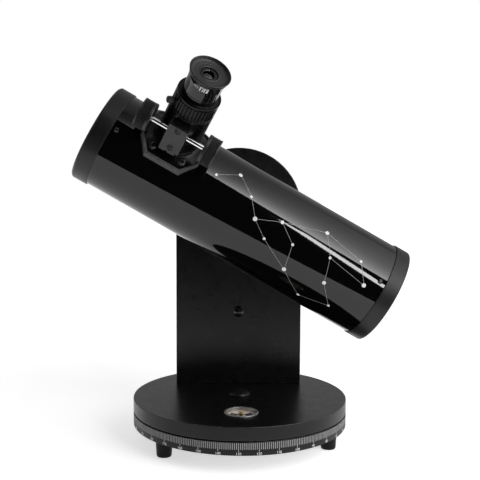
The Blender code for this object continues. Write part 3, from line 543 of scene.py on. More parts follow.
def make_ground_base():
    rim = BASE_RADIUS - 1.0
    lathe("ground_board", [
        (PIVOT_BORE, PLATE_TOP), (rim, PLATE_TOP, 0.6), (rim, PLATE_BOTTOM, 0.8), (PIVOT_BORE, PLATE_BOTTOM),
    ], BASE, "ground_base", LAMINATE, ["base_plate"], FINE)
    lathe("scale_strip", [
        (rim + 0.3, STRIP_TOP), (BASE_RADIUS, STRIP_TOP, 0.2), (BASE_RADIUS, STRIP_BOTTOM, 0.2),
        (rim + 0.3, STRIP_BOTTOM),
    ], BASE, "ground_base", STRIP, ["azimuth_scale"], 2 * FINE)
    put("scale_ticks", ticks_mesh(), BASE, "ground_base", TICK_INK)
    put("scale_numbers", numbers_mesh(), BASE, "ground_base", WHITE_INK, slot="scale_strip")
    keep_cad(BEARING, "azimuth_bearing")
    for number in (1, 2, 3):
        make_foot(f"foot_{number}")
    lathe("pivot_carriage_bolt", [
        (0, 50.4), (3, 50.4, 0.6), (3, 18.6), (8, 18.6, 0.3), (8, 17.3, 0.5), (5.5, 15.2, 1.5), (0, 14.6),
    ], BASE, "ground_base", ZINC, ["pivot_bolt"])
    lathe("pivot_flat_washer", [
        (3.3, 43.4), (7.5, 43.4, 0.3), (7.5, 42.2, 0.3), (3.3, 42.2),
    ], BASE, "ground_base", ZINC, ["pivot_washer"])
    put("pivot_lock_nut", hex_nut_mesh("nut", 10, 5.4, 3.1), shifted(BASE, z=43.8), "ground_base", ZINC,
        ["pivot_nut"])


def make_foot(node):
    low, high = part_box(node)
    where = Matrix.Translation(((low.x + high.x) / 2, (low.y + high.y) / 2, 0))
    top = high.z / MM
    lathe(node + "_rubber", [
        (2.2, top), (9, top, 0.4), (8.0, 1.2, 1.0), (7.3, 0, 0.4), (4.6, 0, 0.3), (4.6, 9), (2.2, 9),
    ], where, "ground_base", FOOT_RUBBER, [node], SMALL * 2)
    head_down = where @ Matrix.Translation((0, 0, 8.9 * MM)) @ turned(180, "X")
    put(node + "_screw", cross_screw_mesh("foot_screw", 4.0, 2.4, 1.9, 8), head_down, "ground_base", ZINC)


def on_scale(turn, z):
    return polar(BASE_RADIUS + INK, turn, z)


def ticks_mesh():
    """A tick at each degree round the strip, longer at every tenth."""
    cage = bmesh.new()
    half = math.radians(0.17)
    for degree in range(360):
        turn = math.radians(degree - (360 - SCALE_START) % LABEL_STEP)
        low = STRIP_TOP - (9.0 if degree % LABEL_STEP == 0 else 6.9)
        corners = [on_scale(turn - half, low), on_scale(turn + half, low),
                   on_scale(turn + half, STRIP_TOP - 0.1), on_scale(turn - half, STRIP_TOP - 0.1)]
        cage.faces.new([cage.verts.new(corner) for corner in corners])
    return new_mesh("ticks", cage)


def text_mesh(text, height):
    """Numerals as flat faces, centred on X, in millimetres."""
    curve = bpy.data.curves.new("numeral", "FONT")
    curve.body = text
    curve.align_x = "CENTER"
    curve.size = height * 1.38
    holder = linked("numeral", curve)
    bpy.context.view_layer.update()
    mesh = bpy.data.meshes.new_from_object(holder.evaluated_get(bpy.context.evaluated_depsgraph_get()))
    bpy.data.objects.remove(holder, do_unlink=True)
    return mesh


def add_text(cage, text, height, place):
    """Adds flat text to the cage, with each of its points where place(x, y) puts it."""
    start = len(cage.verts)
    mesh = text_mesh(text, height)
    cage.from_mesh(mesh)
    bpy.data.meshes.remove(mesh)
    cage.verts.ensure_lookup_table()
    for vert in cage.verts[start:]:
        vert.co = place(vert.co.x, vert.co.y)


def numbers_mesh():
    cage = bmesh.new()
    for label in range(0, 360, LABEL_STEP):
        middle = math.radians(SCALE_START - label)
        add_text(cage, str(label), 2.7,
                 lambda x, y: on_scale(middle + x / BASE_RADIUS, STRIP_BOTTOM + 0.7 + y))
    return new_mesh("numbers", cage)


# ---- turntable, compass and upright ----

COMPASS = Matrix.Translation(joint_point("needle_swing") - Vector((0, 0, joint_point("needle_swing").z)))
COMPASS_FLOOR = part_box("compass_housing")[0].z / MM
COMPASS_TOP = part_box("compass_housing")[1].z / MM
COMPASS_INSIDE, COMPASS_RECESS = 15.4, 17.3
LETTER_RADIUS, LETTER_HEIGHT, LETTER_MIDDLE = 8.9, 1.9, 0.95


def make_turntable():
    board = lathe_mesh("board", [
        (RECESS_RADIUS, BOARD_TOP, 0.4), (BASE_RADIUS, BOARD_TOP, 0.8), (BASE_RADIUS, BOARD_BOTTOM, 0.8),
        (PIVOT_BORE, BOARD_BOTTOM), (PIVOT_BORE, RECESS_FLOOR), (RECESS_RADIUS, RECESS_FLOOR),
    ], 2 * FINE)
    recess = lathe_mesh("recess", [
        (0, 60), (COMPASS_RECESS, 60), (COMPASS_RECESS, COMPASS_FLOOR - GAP), (0, COMPASS_FLOOR - GAP),
    ], MEDIUM)
    board = combined(board, BASE, [(recess, COMPASS)])
    board.materials.append(LAMINATE)
    board.materials.append(EDGE_BAND)
    for face in board.polygons:
        face.material_index = int(abs(face.normal.z) < 0.5)
    solid("rotating_board", board, BASE, "turntable", LAMINATE, ["turntable_board"])
    bottom = BOARD_TOP + GAP
    lathe("pivot_cover", [
        (0, 53.4), (5.5, 53.1), (9.2, 51.9), (11.2, 50.5, 0.8), (12, 49.2, 0.5), (12, bottom, 0.2),
        (8.6, bottom), (8.2, 50.2), (0, 51.7),
    ], BASE, "turntable", SATIN, ["pivot_cap"])
    make_compass()
    make_upright()


def make_compass():
    floor, top = COMPASS_FLOOR, COMPASS_TOP
    lathe("compass_case", [
        (0, floor + 4.2), (0.35, floor + 3.4), (0.7, floor + 1.2), (COMPASS_INSIDE, floor + 1.2),
        (COMPASS_INSIDE, top, 0.3), (17.2, top, 0.4), (17.7, top - 0.5, 0.2), (17.7, top - 1, 0.1),
        (17, top - 1), (17, floor), (0, floor),
    ], COMPASS, "turntable", SILVER, ["compass_housing"])
    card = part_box("compass_needle")[0].z / MM - 0.5
    lathe("compass_face", [
        (1.2, card), (15.1, card, 0.1), (15.1, card - 0.5, 0.1), (1.2, card - 0.5),
    ], COMPASS, "turntable", CARD, ["compass_dial"])
    put("compass_markings", rose_mesh(card + INK), COMPASS, "turntable", CARD_INK)
    lathe("compass_ring", [
        (11.8, card + INK), (12.3, card + INK), (12.3, card - 0.2), (11.8, card - 0.2),
    ], COMPASS, "turntable", BRASS, slot="compass_card")
    put("compass_letters", letters_mesh(card + 2 * INK, (("E", 0), ("W", 180))), COMPASS, "turntable", CARD)
    put("compass_poles", letters_mesh(card + 2 * INK, (("N", 90), ("S", -90))), COMPASS, "turntable",
        CARD_INK)
    lathe("compass_glass", [
        (0, top - 0.1), (14.6, top - 0.1, 0.2), (15.1, top - 0.5, 0.1), (15.1, top - 1.1), (0, top - 1.1),
    ], COMPASS, "turntable", WINDOW, ["compass_window"])
    make_needle()


def make_needle():
    """A waisted needle, painted at its north end, with a brass cup on the pin."""
    low, high = (corner.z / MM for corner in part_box("compass_needle"))
    for end, sign, finish in (("north", 1, NEEDLE_TAN), ("south", -1, BRASS)):
        outline = [(-2.3, 0), (2.3, 0), (1.5, sign * 4.5), (0, sign * 12), (-1.5, sign * 4.5)]
        needle = put(f"needle_{end}", slab_mesh("needle", outline, low, high, 0.08), COMPASS,
                     "compass_needle", finish, slot="needle_paint")
    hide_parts("compass_needle")
    lathe("needle_cup", [
        (0, high + 0.7), (1.1, high + 0.6, 0.3), (1.7, high, 0.1), (1.7, high - 0.2), (0, high - 0.2),
    ], COMPASS, "compass_needle", BRASS, steps=SMALL)


def rose_mesh(z):
    """A graduated ring, and two dark wedges that point at the needle's pin from the sides."""
    cage = bmesh.new()
    for step in range(72):
        turn = 2 * math.pi * step / 72
        inner = 12.6 if step % 9 == 0 else 13.4
        half = 0.10 if step % 9 else 0.2
        side = Vector((-math.sin(turn), math.cos(turn), 0)) * half
        out = Vector((math.cos(turn), math.sin(turn), 0))
        corners = [out * inner - side, out * 14.6 - side, out * 14.6 + side, out * inner + side]
        cage.faces.new([cage.verts.new((c.x, c.y, z)) for c in corners])
    spread = math.radians(33)
    for middle in (0, math.pi):
        tip = cage.verts.new((1.6 * math.cos(middle), 0, z))
        rim = []
        for step in range(17):
            turn = middle - spread + 2 * spread * step / 16
            rim.append(cage.verts.new(polar(11.6, turn, z)))
        for here, there in zip(rim, rim[1:]):
            cage.faces.new([tip, here, there])
    return new_mesh("rose", cage)


def letters_mesh(z, letters):
    cage = bmesh.new()
    for letter, turn in letters:
        across, up = polar(LETTER_RADIUS, math.radians(turn))
        add_text(cage, letter, LETTER_HEIGHT, lambda x, y: (across + x, up + y - LETTER_MIDDLE, z))
    return new_mesh("letters", cage)


def make_upright():
    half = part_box("upright_board")[1].x / MM
    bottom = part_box("upright_board")[0].z / MM
    outline = [(-half, bottom), (half, bottom)]
    for step in range(FINE + 1):
        turn = math.pi * step / FINE
        outline.append((half * math.cos(turn), ALTITUDE_HEIGHT + half * math.sin(turn)))
    board = slab_mesh("upright", outline, -BOARD_BACK, -BOARD_FRONT, 0.7)
    where = space((0, 0, 0), X, Z, -Y)
    holes = [(rod_mesh(PIVOT_BORE, -BOARD_BACK - 5, -BOARD_FRONT + 5), shifted(where, y=height))
             for height in (ALTITUDE_HEIGHT, BOLT_HEIGHT)]
    solid("fork_board", combined(board, where, holes), where, "turntable", LAMINATE, ["upright_board"])
    lathe("dome_bolt", [
        (0, 4), (2.6, 3.7), (4.7, 2.7), (6.2, 1.1, 0.5), (6.6, 0, 0.1), (3, 0), (3, -20, 0.5), (0, -20),
    ], facing_front(BOARD_FRONT - GAP, BOLT_HEIGHT), "turntable", DARK_STEEL, ["board_bolt"])
    put("dome_bolt_nut", hex_nut_mesh("nut", 10, 5, 3.1), facing_back(BOARD_BACK + GAP, BOLT_HEIGHT),
        "turntable", ZINC, ["board_bolt_nut"])
    lathe("altitude_slip_washer", [
        (3.3, 1.85), (28, 1.85, 0.3), (28, 0, 0.3), (3.3, 0),
    ], facing_front(BOARD_FRONT - GAP, ALTITUDE_HEIGHT), "turntable", BEARING, ["altitude_washer"])
    lathe("altitude_flat_washer", [
        (3.3, 1.2), (10, 1.2, 0.3), (10, 0, 0.2), (3.3, 0),
    ], facing_back(BOARD_BACK + GAP, ALTITUDE_HEIGHT), "turntable", ZINC, ["knob_washer"])


# ---- tube ----

TUBE_RADIUS, TUBE_WALL, RING_RADIUS = 52.5, 1.0, 53.7
FRONT_END, REAR_END = 176.4, -177.2
FRONT_RING_BACK, REAR_CAP_FRONT = 158.4, -161.2
FRONT_SCREWS, REAR_SCREWS = 153.2, -154.9
SCREW_ANGLES = (75.0, 195.0, 315.0)
MIRROR_FACE, MIRROR_RADIUS, FOCAL_LENGTH = -135.6, 38.0, 350.0
DIAGONAL_RADIUS = 13.0

# Stars are (place along the tube, angle from its top towards the eyepiece's side, radius).
STARS = [
    (44, 62, 1.5), (22, 46, 2.1), (2, 64, 1.5), (-12, 84, 2.3), (-30, 98, 1.5), (-38, 72, 1.9),
    (-58, 88, 1.5), (-64, 118, 2.3), (-84, 56, 2.1), (-98, 80, 1.5), (-106, 108, 2.0), (-128, 66, 1.5),
    (-142, 88, 2.2), (-124, 132, 1.5), (-92, 142, 1.8),
]
STAR_LINES = [
    (0, 1), (1, 2), (2, 3), (3, 4), (4, 7), (3, 5), (5, 6), (6, 7), (5, 8), (8, 9), (9, 12), (9, 10), (8, 11),
    (11, 12), (10, 13), (13, 14), (14, 7),
]


def make_tube():
    shell = lathe_mesh("shell", [
        (TUBE_RADIUS - TUBE_WALL, FRONT_END - 5.3), (TUBE_RADIUS, FRONT_END - 5.3),
        (TUBE_RADIUS, REAR_END + 5.6), (TUBE_RADIUS - TUBE_WALL, REAR_END + 5.6),
    ], 2 * FINE)
    holes = [(rod_mesh(17.6, 30, 70, MEDIUM), FOCUSER),
             (rod_mesh(PIVOT_BORE, 40, 60), facing_back(TUBE_Y, ALTITUDE_HEIGHT))]
    holes += [(rod_mesh(1.7, 50, 54, 24), around(TUBE, x, angle))
              for x in (FRONT_SCREWS, REAR_SCREWS) for angle in SCREW_ANGLES]
    holes += [(rod_mesh(1.9, 48, 56, 24), where) for where in flange_screw_places()]
    shell = combined(shell, TUBE, holes)
    shell.materials.append(GLOSS)
    shell.materials.append(INSIDE)
    turned_normals(shell)
    put("tube", shell, TUBE, "tube", GLOSS, ["tube_shell"])
    put("star_dots", dots_mesh(), TUBE, "tube", STAR_INK)
    put("star_lines", lines_mesh(), TUBE, "tube", LINE_INK)
    lathe("front_trim_ring", [
        (49.6, FRONT_END, 0.5), (51.9, FRONT_END, 1.5), (RING_RADIUS, FRONT_END - 1.8, 1.2),
        (RING_RADIUS, FRONT_RING_BACK, 0.5), (52.8, FRONT_RING_BACK), (52.8, FRONT_END - 5),
        (49.6, FRONT_END - 5, 0.3),
    ], TUBE, "tube", SATIN, ["front_ring"], 2 * FINE)
    make_rear_cap()
    for x, end, slot in ((FRONT_SCREWS, "front", "zinc_steel"), (REAR_SCREWS, "rear", "black_steel")):
        mesh = cross_screw_mesh("tube_screw", 2.6, 1.7, 1.4, 4.2)
        for number, angle in enumerate(SCREW_ANGLES, start=1):
            put(f"{end}_pan_screw_{number}", mesh, shifted(around(TUBE, x, angle), z=TUBE_RADIUS + GAP),
                "tube", DARK_STEEL, [f"{end}_tube_screw_{number}"], slot=slot)


def around(base, along, angle):
    """A space on a tube-like axis, with Z pointing out at an angle from the base's Y towards its X.

    The tube's own space has its axis on Z, the eyepiece's side on X and its top on Y.
    """
    turn = math.radians(angle)
    x, y, z = (base.to_3x3() @ Vector(v) for v in ((1, 0, 0), (0, 1, 0), (0, 0, 1)))
    out = (x * math.sin(turn) + y * math.cos(turn)).normalized()
    return space(base.translation + z * along * MM, z, out.cross(z), out)


def flange_screw_places():
    """The four corners of the focuser's flange, square to the tube's surface."""
    spread = math.degrees(26 / (TUBE_RADIUS + 2))
    return [around(DIAGONAL, x, angle) for x in (-16.6, 16.6) for angle in (-spread, spread)]


def turned_normals(mesh):
    """Exact normals on a turned shell with holes in it, and its inside given the second material."""
    normals = []
    for face in mesh.polygons:
        out = Vector((face.center.x, face.center.y, 0)).normalized()
        lean = face.normal.dot(out)
        face.use_smooth = True
        face.material_index = int(lean < 0.9)
        for index in face.vertices:
            point = mesh.vertices[index].co
            radial = Vector((point.x, point.y, 0)).normalized()
            normals.append(radial * math.copysign(1, lean) if abs(lean) > 0.9 else face.normal)
    mesh.normals_split_custom_set(normals)


def on_tube(along, angle):
    reach = TUBE_RADIUS + INK
    turn = math.radians(angle)
    return (reach * math.sin(turn), reach * math.cos(turn), along)


def dots_mesh():
    cage = bmesh.new()
    for along, angle, radius in STARS:
        rim = []
        for x, y in ring_points(radius, 28):
            rim.append(cage.verts.new(on_tube(along + x, angle + math.degrees(y / TUBE_RADIUS))))
        middle = cage.verts.new(on_tube(along, angle))
        for here, there in zip(rim, rim[1:] + rim[:1]):
            cage.faces.new([middle, here, there])
    return new_mesh("dots", cage)


def lines_mesh(half_width=0.22, step=2.5):
    cage = bmesh.new()
    for first, second in STAR_LINES:
        a, b = (Vector((STARS[i][0], math.radians(STARS[i][1]) * TUBE_RADIUS)) for i in (first, second))
        direction = (b - a).normalized()
        a, b = a + direction * STARS[first][2], b - direction * STARS[second][2]
        side = Vector((-direction.y, direction.x)) * half_width
        count = max(2, round((b - a).length / step))
        before = None
        for i in range(count + 1):
            spot = a.lerp(b, i / count)
            pair = [cage.verts.new(on_tube(p.x, math.degrees(p.y / TUBE_RADIUS)))
                    for p in (spot - side, spot + side)]
            if before:
                cage.faces.new([before[0], pair[0], pair[1], before[1]])
            before = pair
    return new_mesh("lines", cage)


def collimation_place(number, along):
    """A space on one of the three screws' axes, with Z out of the tube's back."""
    turn = math.radians(90 + 120 * (number - 1))
    at = TUBE @ Vector((33 * MM * math.sin(turn), 33 * MM * math.cos(turn), along * MM))
    return space(at, NEAR, -ABOVE, -ALONG)


def make_rear_cap():
    back = REAR_END + 2.5
    front = back + 2.8
    spigot = TUBE_RADIUS - TUBE_WALL - GAP
    rim = TUBE_RADIUS + GAP
    cap = lathe_mesh("cap", [
        (0, front), (spigot - 3, front, 1.0), (spigot - 3, REAR_SCREWS + 5, 0.3),
        (spigot, REAR_SCREWS + 5, 0.3),
        (spigot, front), (rim, front), (rim, REAR_CAP_FRONT), (RING_RADIUS, REAR_CAP_FRONT, 0.4),
        (RING_RADIUS, REAR_END, 1.6), (49.5, REAR_END, 0.6), (49.5, back, 0.5), (0, back),
    ], 2 * FINE)
    holes = [(rod_mesh(2.3, -12, 12), collimation_place(number, back)) for number in (1, 2, 3)]
    holes += [(rod_mesh(1.7, 45, 52.3, 24), around(TUBE, REAR_SCREWS, angle)) for angle in SCREW_ANGLES]
    solid("mirror_end_cap", combined(cap, TUBE, holes), TUBE, "tube", SATIN, ["rear_cap"])
    screw = lathe_mesh("collimation_screw", [
        (0, 4.6), (4.4, 4.6, 0.5), (5, 4.0, 0.3), (5, 0.3, 0.3), (2, 0.1), (2, -24, 0.4), (0, -24),
    ], 120, (0.5, 4.1, 30, 0.35))
    slot = box_mesh("slot", (-5.5, -0.5, 3.4), (5.5, 0.5, 6), 0)
    screw = combined(screw, HERE, [(slot, HERE)])
    for number in (1, 2, 3):
        solid(f"collimation_thumb_screw_{number}", screw, collimation_place(number, back - GAP),
              f"collimation_screw_{number}", ZINC, [f"collimation_screw_{number}"])


def make_optics():
    sag = MIRROR_RADIUS ** 2 / (4 * FOCAL_LENGTH)
    rings = 16
    face = []
    for i in range(rings + 1):
        r = (MIRROR_RADIUS - 0.5) * i / rings
        face.append((r, MIRROR_FACE - sag + r ** 2 / (4 * FOCAL_LENGTH)))
    back = MIRROR_FACE - 9
    face += [(MIRROR_RADIUS, MIRROR_FACE - 0.5, 0.2), (MIRROR_RADIUS, back, 0.5), (0, back)]
    lathe("main_mirror", face, TUBE, "tube", MIRROR, ["primary_mirror"])
    floor = back - GAP
    cell = lathe_mesh("cell", [
        (0, floor), (38.3, floor), (38.3, MIRROR_FACE - 1, 0.3), (43, MIRROR_FACE - 1, 0.3),
        (43, floor - 5, 0.8), (0, floor - 5),
    ])
    holes = [(rod_mesh(2.3, 1.2, 12), collimation_place(number, floor)) for number in (1, 2, 3)]
    solid("main_mirror_cell", combined(cell, TUBE, holes), TUBE, "tube", SATIN, ["mirror_cell"])
    front, base = MIRROR_FACE + 1.4, MIRROR_FACE + GAP
    ring = lathe_mesh("retainer", [
        (36.8, front, 0.3), (43, front, 0.4), (43, base - 0.9), (39.3, base - 0.9), (39.3, base),
        (36.8, base),
    ])
    tabs = [(box_mesh("tab", (-4, 34, base), (4, 38, front - 0.1), 0.2), TUBE @ turned(-120 * i))
            for i in range(3)]
    solid("main_mirror_clips", combined(ring, TUBE, tabs, "UNION"), TUBE, "tube", SATIN, ["mirror_retainer"])
    make_spider()
    make_diagonal()


def make_spider():
    low, high = FRONT_SCREWS - 5, FRONT_SCREWS + 4
    outside = TUBE_RADIUS - TUBE_WALL - GAP
    ring = lathe_mesh("spider", [
        (outside - 2, high, 0.4), (outside, high, 0.3), (outside, low, 0.3), (outside - 2, low, 0.4),
    ], FINE)
    hub = lathe_mesh("hub", [(0, high + 1), (7, high + 1, 0.6), (8, high, 0.4), (8, low, 0.6), (0, low)])
    parts = [(hub, TUBE)]
    for angle in SCREW_ANGLES:
        vane = box_mesh("vane", (low + 0.5, -0.6, 6), (high - 0.5, 0.6, outside - 1), 0.2)
        parts.append((vane, around(TUBE, 0, angle)))
    spider = combined(ring, TUBE, parts, "UNION")
    holes = [(rod_mesh(1.7, 47.5, 56, 24), around(TUBE, FRONT_SCREWS, angle)) for angle in SCREW_ANGLES]
    holes.append((rod_mesh(2.3, low - 5, high + 5), TUBE))
    solid("three_vane_spider", combined(spider, TUBE, holes), TUBE, "tube", SATIN, ["spider"])


DIAGONAL = space(FOCUS_POINT, ACROSS, OUT, ALONG)
DIAGONAL_FACE = (OUT - ALONG).normalized()
DIAGONAL_PLANE = space(FOCUS_POINT, ACROSS, DIAGONAL_FACE.cross(ACROSS), DIAGONAL_FACE)


def make_diagonal():
    end = FRONT_SCREWS + 7 - FOCUS_X
    holder = lathe_mesh("holder", [
        (0, end), (2, end, 0.3), (2, 36), (6, 36, 1.0), (12.5, 31, 1.0), (12.5, -20), (0, -20),
    ])
    half = 60
    above = box_mesh("cut", (-half, -half, -2.8), (half, half, half), 0)
    solid("diagonal_holder", combined(holder, DIAGONAL, [(above, DIAGONAL_PLANE)]), DIAGONAL, "tube", SATIN,
          ["secondary_holder"])
    glass = rod_mesh(DIAGONAL_RADIUS, -24, 24, MEDIUM)
    cuts = [(box_mesh("front", (-half, -half, 0), (half, half, half), 0), DIAGONAL_PLANE),
            (box_mesh("back", (-half, -half, -half), (half, half, -2.5), 0), DIAGONAL_PLANE)]
    solid("diagonal_mirror", combined(glass, DIAGONAL, cuts), DIAGONAL, "tube", MIRROR, ["secondary_mirror"])


def make_altitude_pivot():
    axis = facing_back(TUBE_Y, ALTITUDE_HEIGHT)
    face = BOARD_FRONT - 2 * GAP - 1.85 - TUBE_Y
    saddle = lathe_mesh("saddle", [(3.3, face), (30, face, 0.8), (30, 43.9), (3.3, 43.9)])
    seat = rod_mesh(TUBE_RADIUS + GAP, -60, 60, 2 * FINE)
    solid("tube_saddle", combined(saddle, axis, [(seat, TUBE)]), axis, "tube", SATIN, ["altitude_saddle"])
    lathe("altitude_carriage_bolt", [
        (0, 91), (3, 91, 0.6), (3, 50.2), (8, 50.2, 0.3), (8, 48.7, 0.5), (5, 46.8, 1.5), (0, 46.2),
    ], axis, "tube", ZINC, ["altitude_bolt"])
    near = BOARD_BACK + 2 * GAP + 1.2 - TUBE_Y
    steps = 180
    outline = []
    for step in range(steps):
        turn = 2 * math.pi * step / steps
        reach = 19 - 1.6 * (1 - math.cos(6 * turn))
        outline.append(polar(reach, turn))
    knob = slab_mesh("knob", outline, near + 4, near + 21, 1.6)
    hub = lathe_mesh("hub", [(0, near + 10), (11, near + 10), (11, near, 0.6), (0, near)])
    knob = combined(knob, axis, [(hub, axis)], "UNION")
    dish = lathe_mesh("dish", [(0, near + 30), (11.5, near + 30), (11.5, near + 19.6, 0.5), (0, near + 19.6)])
    knob = combined(knob, axis, [(rod_mesh(3.3, near - 2, 92), axis), (dish, axis)])
    solid("altitude_hand_knob", knob, axis, "altitude_knob", KNURL_BLACK, ["altitude_knob"])


# ---- focuser ----

FLANGE_X, FLANGE_Y, CORNER_X, CORNER_Y = 33.0, 35.3, 20.0, 20.5
SEAT = TUBE_RADIUS + GAP
FLANGE_TOP, FLANGE_FLOOR = SEAT + 3.6, SEAT + 1.8
HOUSING_RADIUS, HOUSING_TOP, BORE = 22.8, 97.0, 17.6
SHAFT_Y, SHAFT_Z = 22.5, 77.4
BOSS_HALF, BOSS_FACE, COVER_FACE = 10.0, 29.7, 32.0
COVER_BOTTOM, COVER_TOP = 60.0, 91.0
COVER_SCREWS = (64.2, 87.5)
KNOB_RADIUS, KNOB_NEAR, KNOB_FAR = 15.5, 29.0, 43.0
COLLAR_RADIUS, COLLAR_BOTTOM, COLLAR_TOP = 22.6, 97.3, 116.5
PINION_TEETH, PINION_PITCH = 8, 3.0


def flange_outline(inset, steps_a_side=12):
    """The flange's eight-sided outline drawn in by an inset, as evenly many points on each side."""
    x, y = FLANGE_X - inset, FLANGE_Y - inset
    corner_x, corner_y = CORNER_X - inset * 0.6, CORNER_Y - inset * 0.4
    corners = [(x, corner_y), (corner_x, y), (-corner_x, y), (-x, corner_y), (-x, -corner_y), (-corner_x, -y),
               (corner_x, -y), (x, -corner_y)]
    points = []
    for here, there in zip(corners, corners[1:] + corners[:1]):
        for step in range(steps_a_side):
            points.append(Vector(here).lerp(Vector(there), step / steps_a_side))
    return points


def loop_mesh(name, loops):
    """Closed skin over (points, edge) loops, each with equally many points.

    A third item is the number of the material on the band from that loop to the next.
    """
    cage = bmesh.new()
    edge_layer = cage.verts.layers.float.new("edge")
    rings = []
    for points, edge, *_ in loops:
        ring = [cage.verts.new(point) for point in points]
        for vert in ring:
            vert[edge_layer] = edge
        rings.append(ring)
    for loop, upper, lower in zip(loops, rings, rings[1:] + rings[:1]):
        for i, here in enumerate(upper):
            j = (i + 1) % len(upper)
            face = cage.faces.new([here, lower[i], lower[j], upper[j]])
            face.material_index = loop[2] if len(loop) > 2 else 0
    return new_mesh(name, cage)


def flange_and_barrel_mesh():
    """The saddle flange with its raised bevelled rim, and the barrel on it, as one skin.

    Each loop of the flange follows an eight-sided outline on the tube's curve. Each loop of the
    barrel is a circle whose points lie at the same bearings.
    """

    def on_curve(points, radius):
        return [(p.x, p.y, math.sqrt(max(radius ** 2 - p.y ** 2, 0))) for p in points]

    def bearings(radius):
        return [Vector((p.x, p.y)).normalized() * radius for p in flange_outline(0)]

    def ring(radius, height):
        return [(p.x, p.y, height) for p in bearings(radius)]

    def blended(share, radius, height):
        inner = bearings(radius)
        outer = flange_outline(3.2)
        return on_curve([a.lerp(b, share) for a, b in zip(inner, outer)], height)

    fillet = HOUSING_RADIUS + 2.2
    # Bands marked 1 take the second material, which paints the rim lighter as a painted highlight.
    loops = [
        (on_curve(bearings(BORE), SEAT), 0), (on_curve(flange_outline(0), SEAT), 0, 1),
        (on_curve(flange_outline(0), FLANGE_TOP - 1.0), 0, 1),
        (on_curve(flange_outline(0.2), FLANGE_TOP - 0.3), 1, 1),
        (on_curve(flange_outline(0.6), FLANGE_TOP), 0.5, 1),
        (on_curve(flange_outline(1.8), FLANGE_TOP), 0.5, 1),
        (on_curve(flange_outline(2.3), FLANGE_TOP - 0.15), 1),
        (on_curve(flange_outline(2.5), FLANGE_TOP - 0.5), 0.5),
        (on_curve(flange_outline(3.0), FLANGE_FLOOR + 0.3), 0),
        (on_curve(flange_outline(3.2), FLANGE_FLOOR), 0),
        (blended(0.66, fillet, FLANGE_FLOOR), 0), (blended(0.33, fillet, FLANGE_FLOOR), 0),
        (on_curve(bearings(fillet), FLANGE_FLOOR), 0),
        (on_curve(bearings(HOUSING_RADIUS + 0.7), FLANGE_FLOOR + 0.7), 0),
        (on_curve(bearings(HOUSING_RADIUS), FLANGE_FLOOR + 2.4), 0), (ring(HOUSING_RADIUS, 60), 0),
        (ring(HOUSING_RADIUS, HOUSING_TOP - 0.8), 0), (ring(HOUSING_RADIUS - 0.25, HOUSING_TOP - 0.25), 1),
        (ring(HOUSING_RADIUS - 0.8, HOUSING_TOP), 0.5), (ring(BORE + 0.4, HOUSING_TOP), 0.5),
        (ring(BORE, HOUSING_TOP - 0.4), 0), (ring(BORE, 60), 0),
    ]
    mesh = loop_mesh("housing", loops)
    mesh.materials.append(FOCUS_BLACK)
    # The second material is the rim's painted highlight.
    mesh.materials.append(RIM_PAINTED_HIGHLIGHT)
    return mesh


def make_focuser_housing():
    pocket = rod_mesh(3.9, -4.2, 4.2)
    bore = rod_mesh(2.8, -30, 30)
    slot = box_mesh("slot", (-2.6, 10, 45), (2.6, 20.4, 110), 0)
    screw_holes = [(rod_mesh(1.9, 48, 56, 24), where) for where in flange_screw_places()]
    cover_holes = [(rod_mesh(1.7, -8, 3, 24), cover_screw_place(z)) for z in COVER_SCREWS]
    inner = [(pocket, SHAFT), (bore, SHAFT), (slot, FOCUSER)]
    housing = combined(flange_and_barrel_mesh(), FOCUSER, inner + screw_holes)
    solid("focuser_barrel", housing, FOCUSER, "tube", FOCUS_BLACK, ["focuser_housing"])
    boss = box_mesh("boss", (-BOSS_HALF, 10, COVER_BOTTOM - 4.2), (BOSS_HALF, BOSS_FACE, COVER_TOP + 1), 0.7)
    around_bore = (rod_mesh(HOUSING_RADIUS - 0.4, 20, 110, FINE), FOCUSER)
    below = (rod_mesh(SEAT, -60, 60, 2 * FINE), TUBE)
    boss = combined(boss, FOCUSER, [around_bore, below, *inner, *cover_holes])
    solid("pinion_boss", boss, FOCUSER, "tube", FOCUS_BLACK)
    make_cover()
    head = cross_screw_mesh("flange_screw", 3.9, 2.2, 1.6, 5.5)
    for number, where in enumerate(flange_screw_places(), start=1):
        put(f"flange_pan_screw_{number}", head, shifted(where, z=FLANGE_FLOOR + GAP), "tube", DARK_STEEL,
            [f"focuser_screw_{number}"])


def cover_screw_place(height):
    """A space on the cover's face, with Z pointing out of it."""
    at = FOCUSER @ Vector((0, COVER_FACE * MM, height * MM))
    return space(at, ALONG, -OUT, ACROSS)


def make_cover():
    wide = BOSS_HALF + 0.5
    toe, notch = COVER_BOTTOM - 3.6, COVER_BOTTOM - 2.2
    plate = slab_mesh("cover", [
        (-wide, COVER_BOTTOM), (3.6 - wide, COVER_BOTTOM), (3.6 - wide, toe), (1.2, toe), (1.2, notch),
        (3.4, notch), (3.4, toe), (wide, toe), (wide, COVER_TOP), (-wide, COVER_TOP),
    ], -COVER_FACE, -BOSS_FACE - GAP, 0.45)
    where = space(FOCUS_POINT, ALONG, OUT, -ACROSS)
    holes = [(rod_mesh(1.7, -8, 3, 24), cover_screw_place(z)) for z in COVER_SCREWS]
    solid("pinion_cover_plate", combined(plate, where, holes), where, "tube", COVER, ["pinion_cover"])
    screw = cross_screw_mesh("cover_screw", 3.0, 1.8, 1.4, 7)
    for number, z in enumerate(COVER_SCREWS, start=1):
        put(f"cover_pan_screw_{number}", screw, shifted(cover_screw_place(z), z=GAP), "tube", DARK_STEEL,
            [f"cover_screw_{number}"])


def gear_outline():
    """The pinion's eight teeth, with the middle of a gap towards the rack."""
    pitch = 2 * math.pi / PINION_TEETH
    outline = []
    for tooth in range(PINION_TEETH):
        middle = math.pi + pitch * (tooth + 0.5)
        for radius, lean in ((2.2, -0.27), (3.0, -0.17), (3.6, -0.07), (3.6, 0.07), (3.0, 0.17), (2.2, 0.27)):
            outline.append(polar(radius, middle + lean))
    return outline


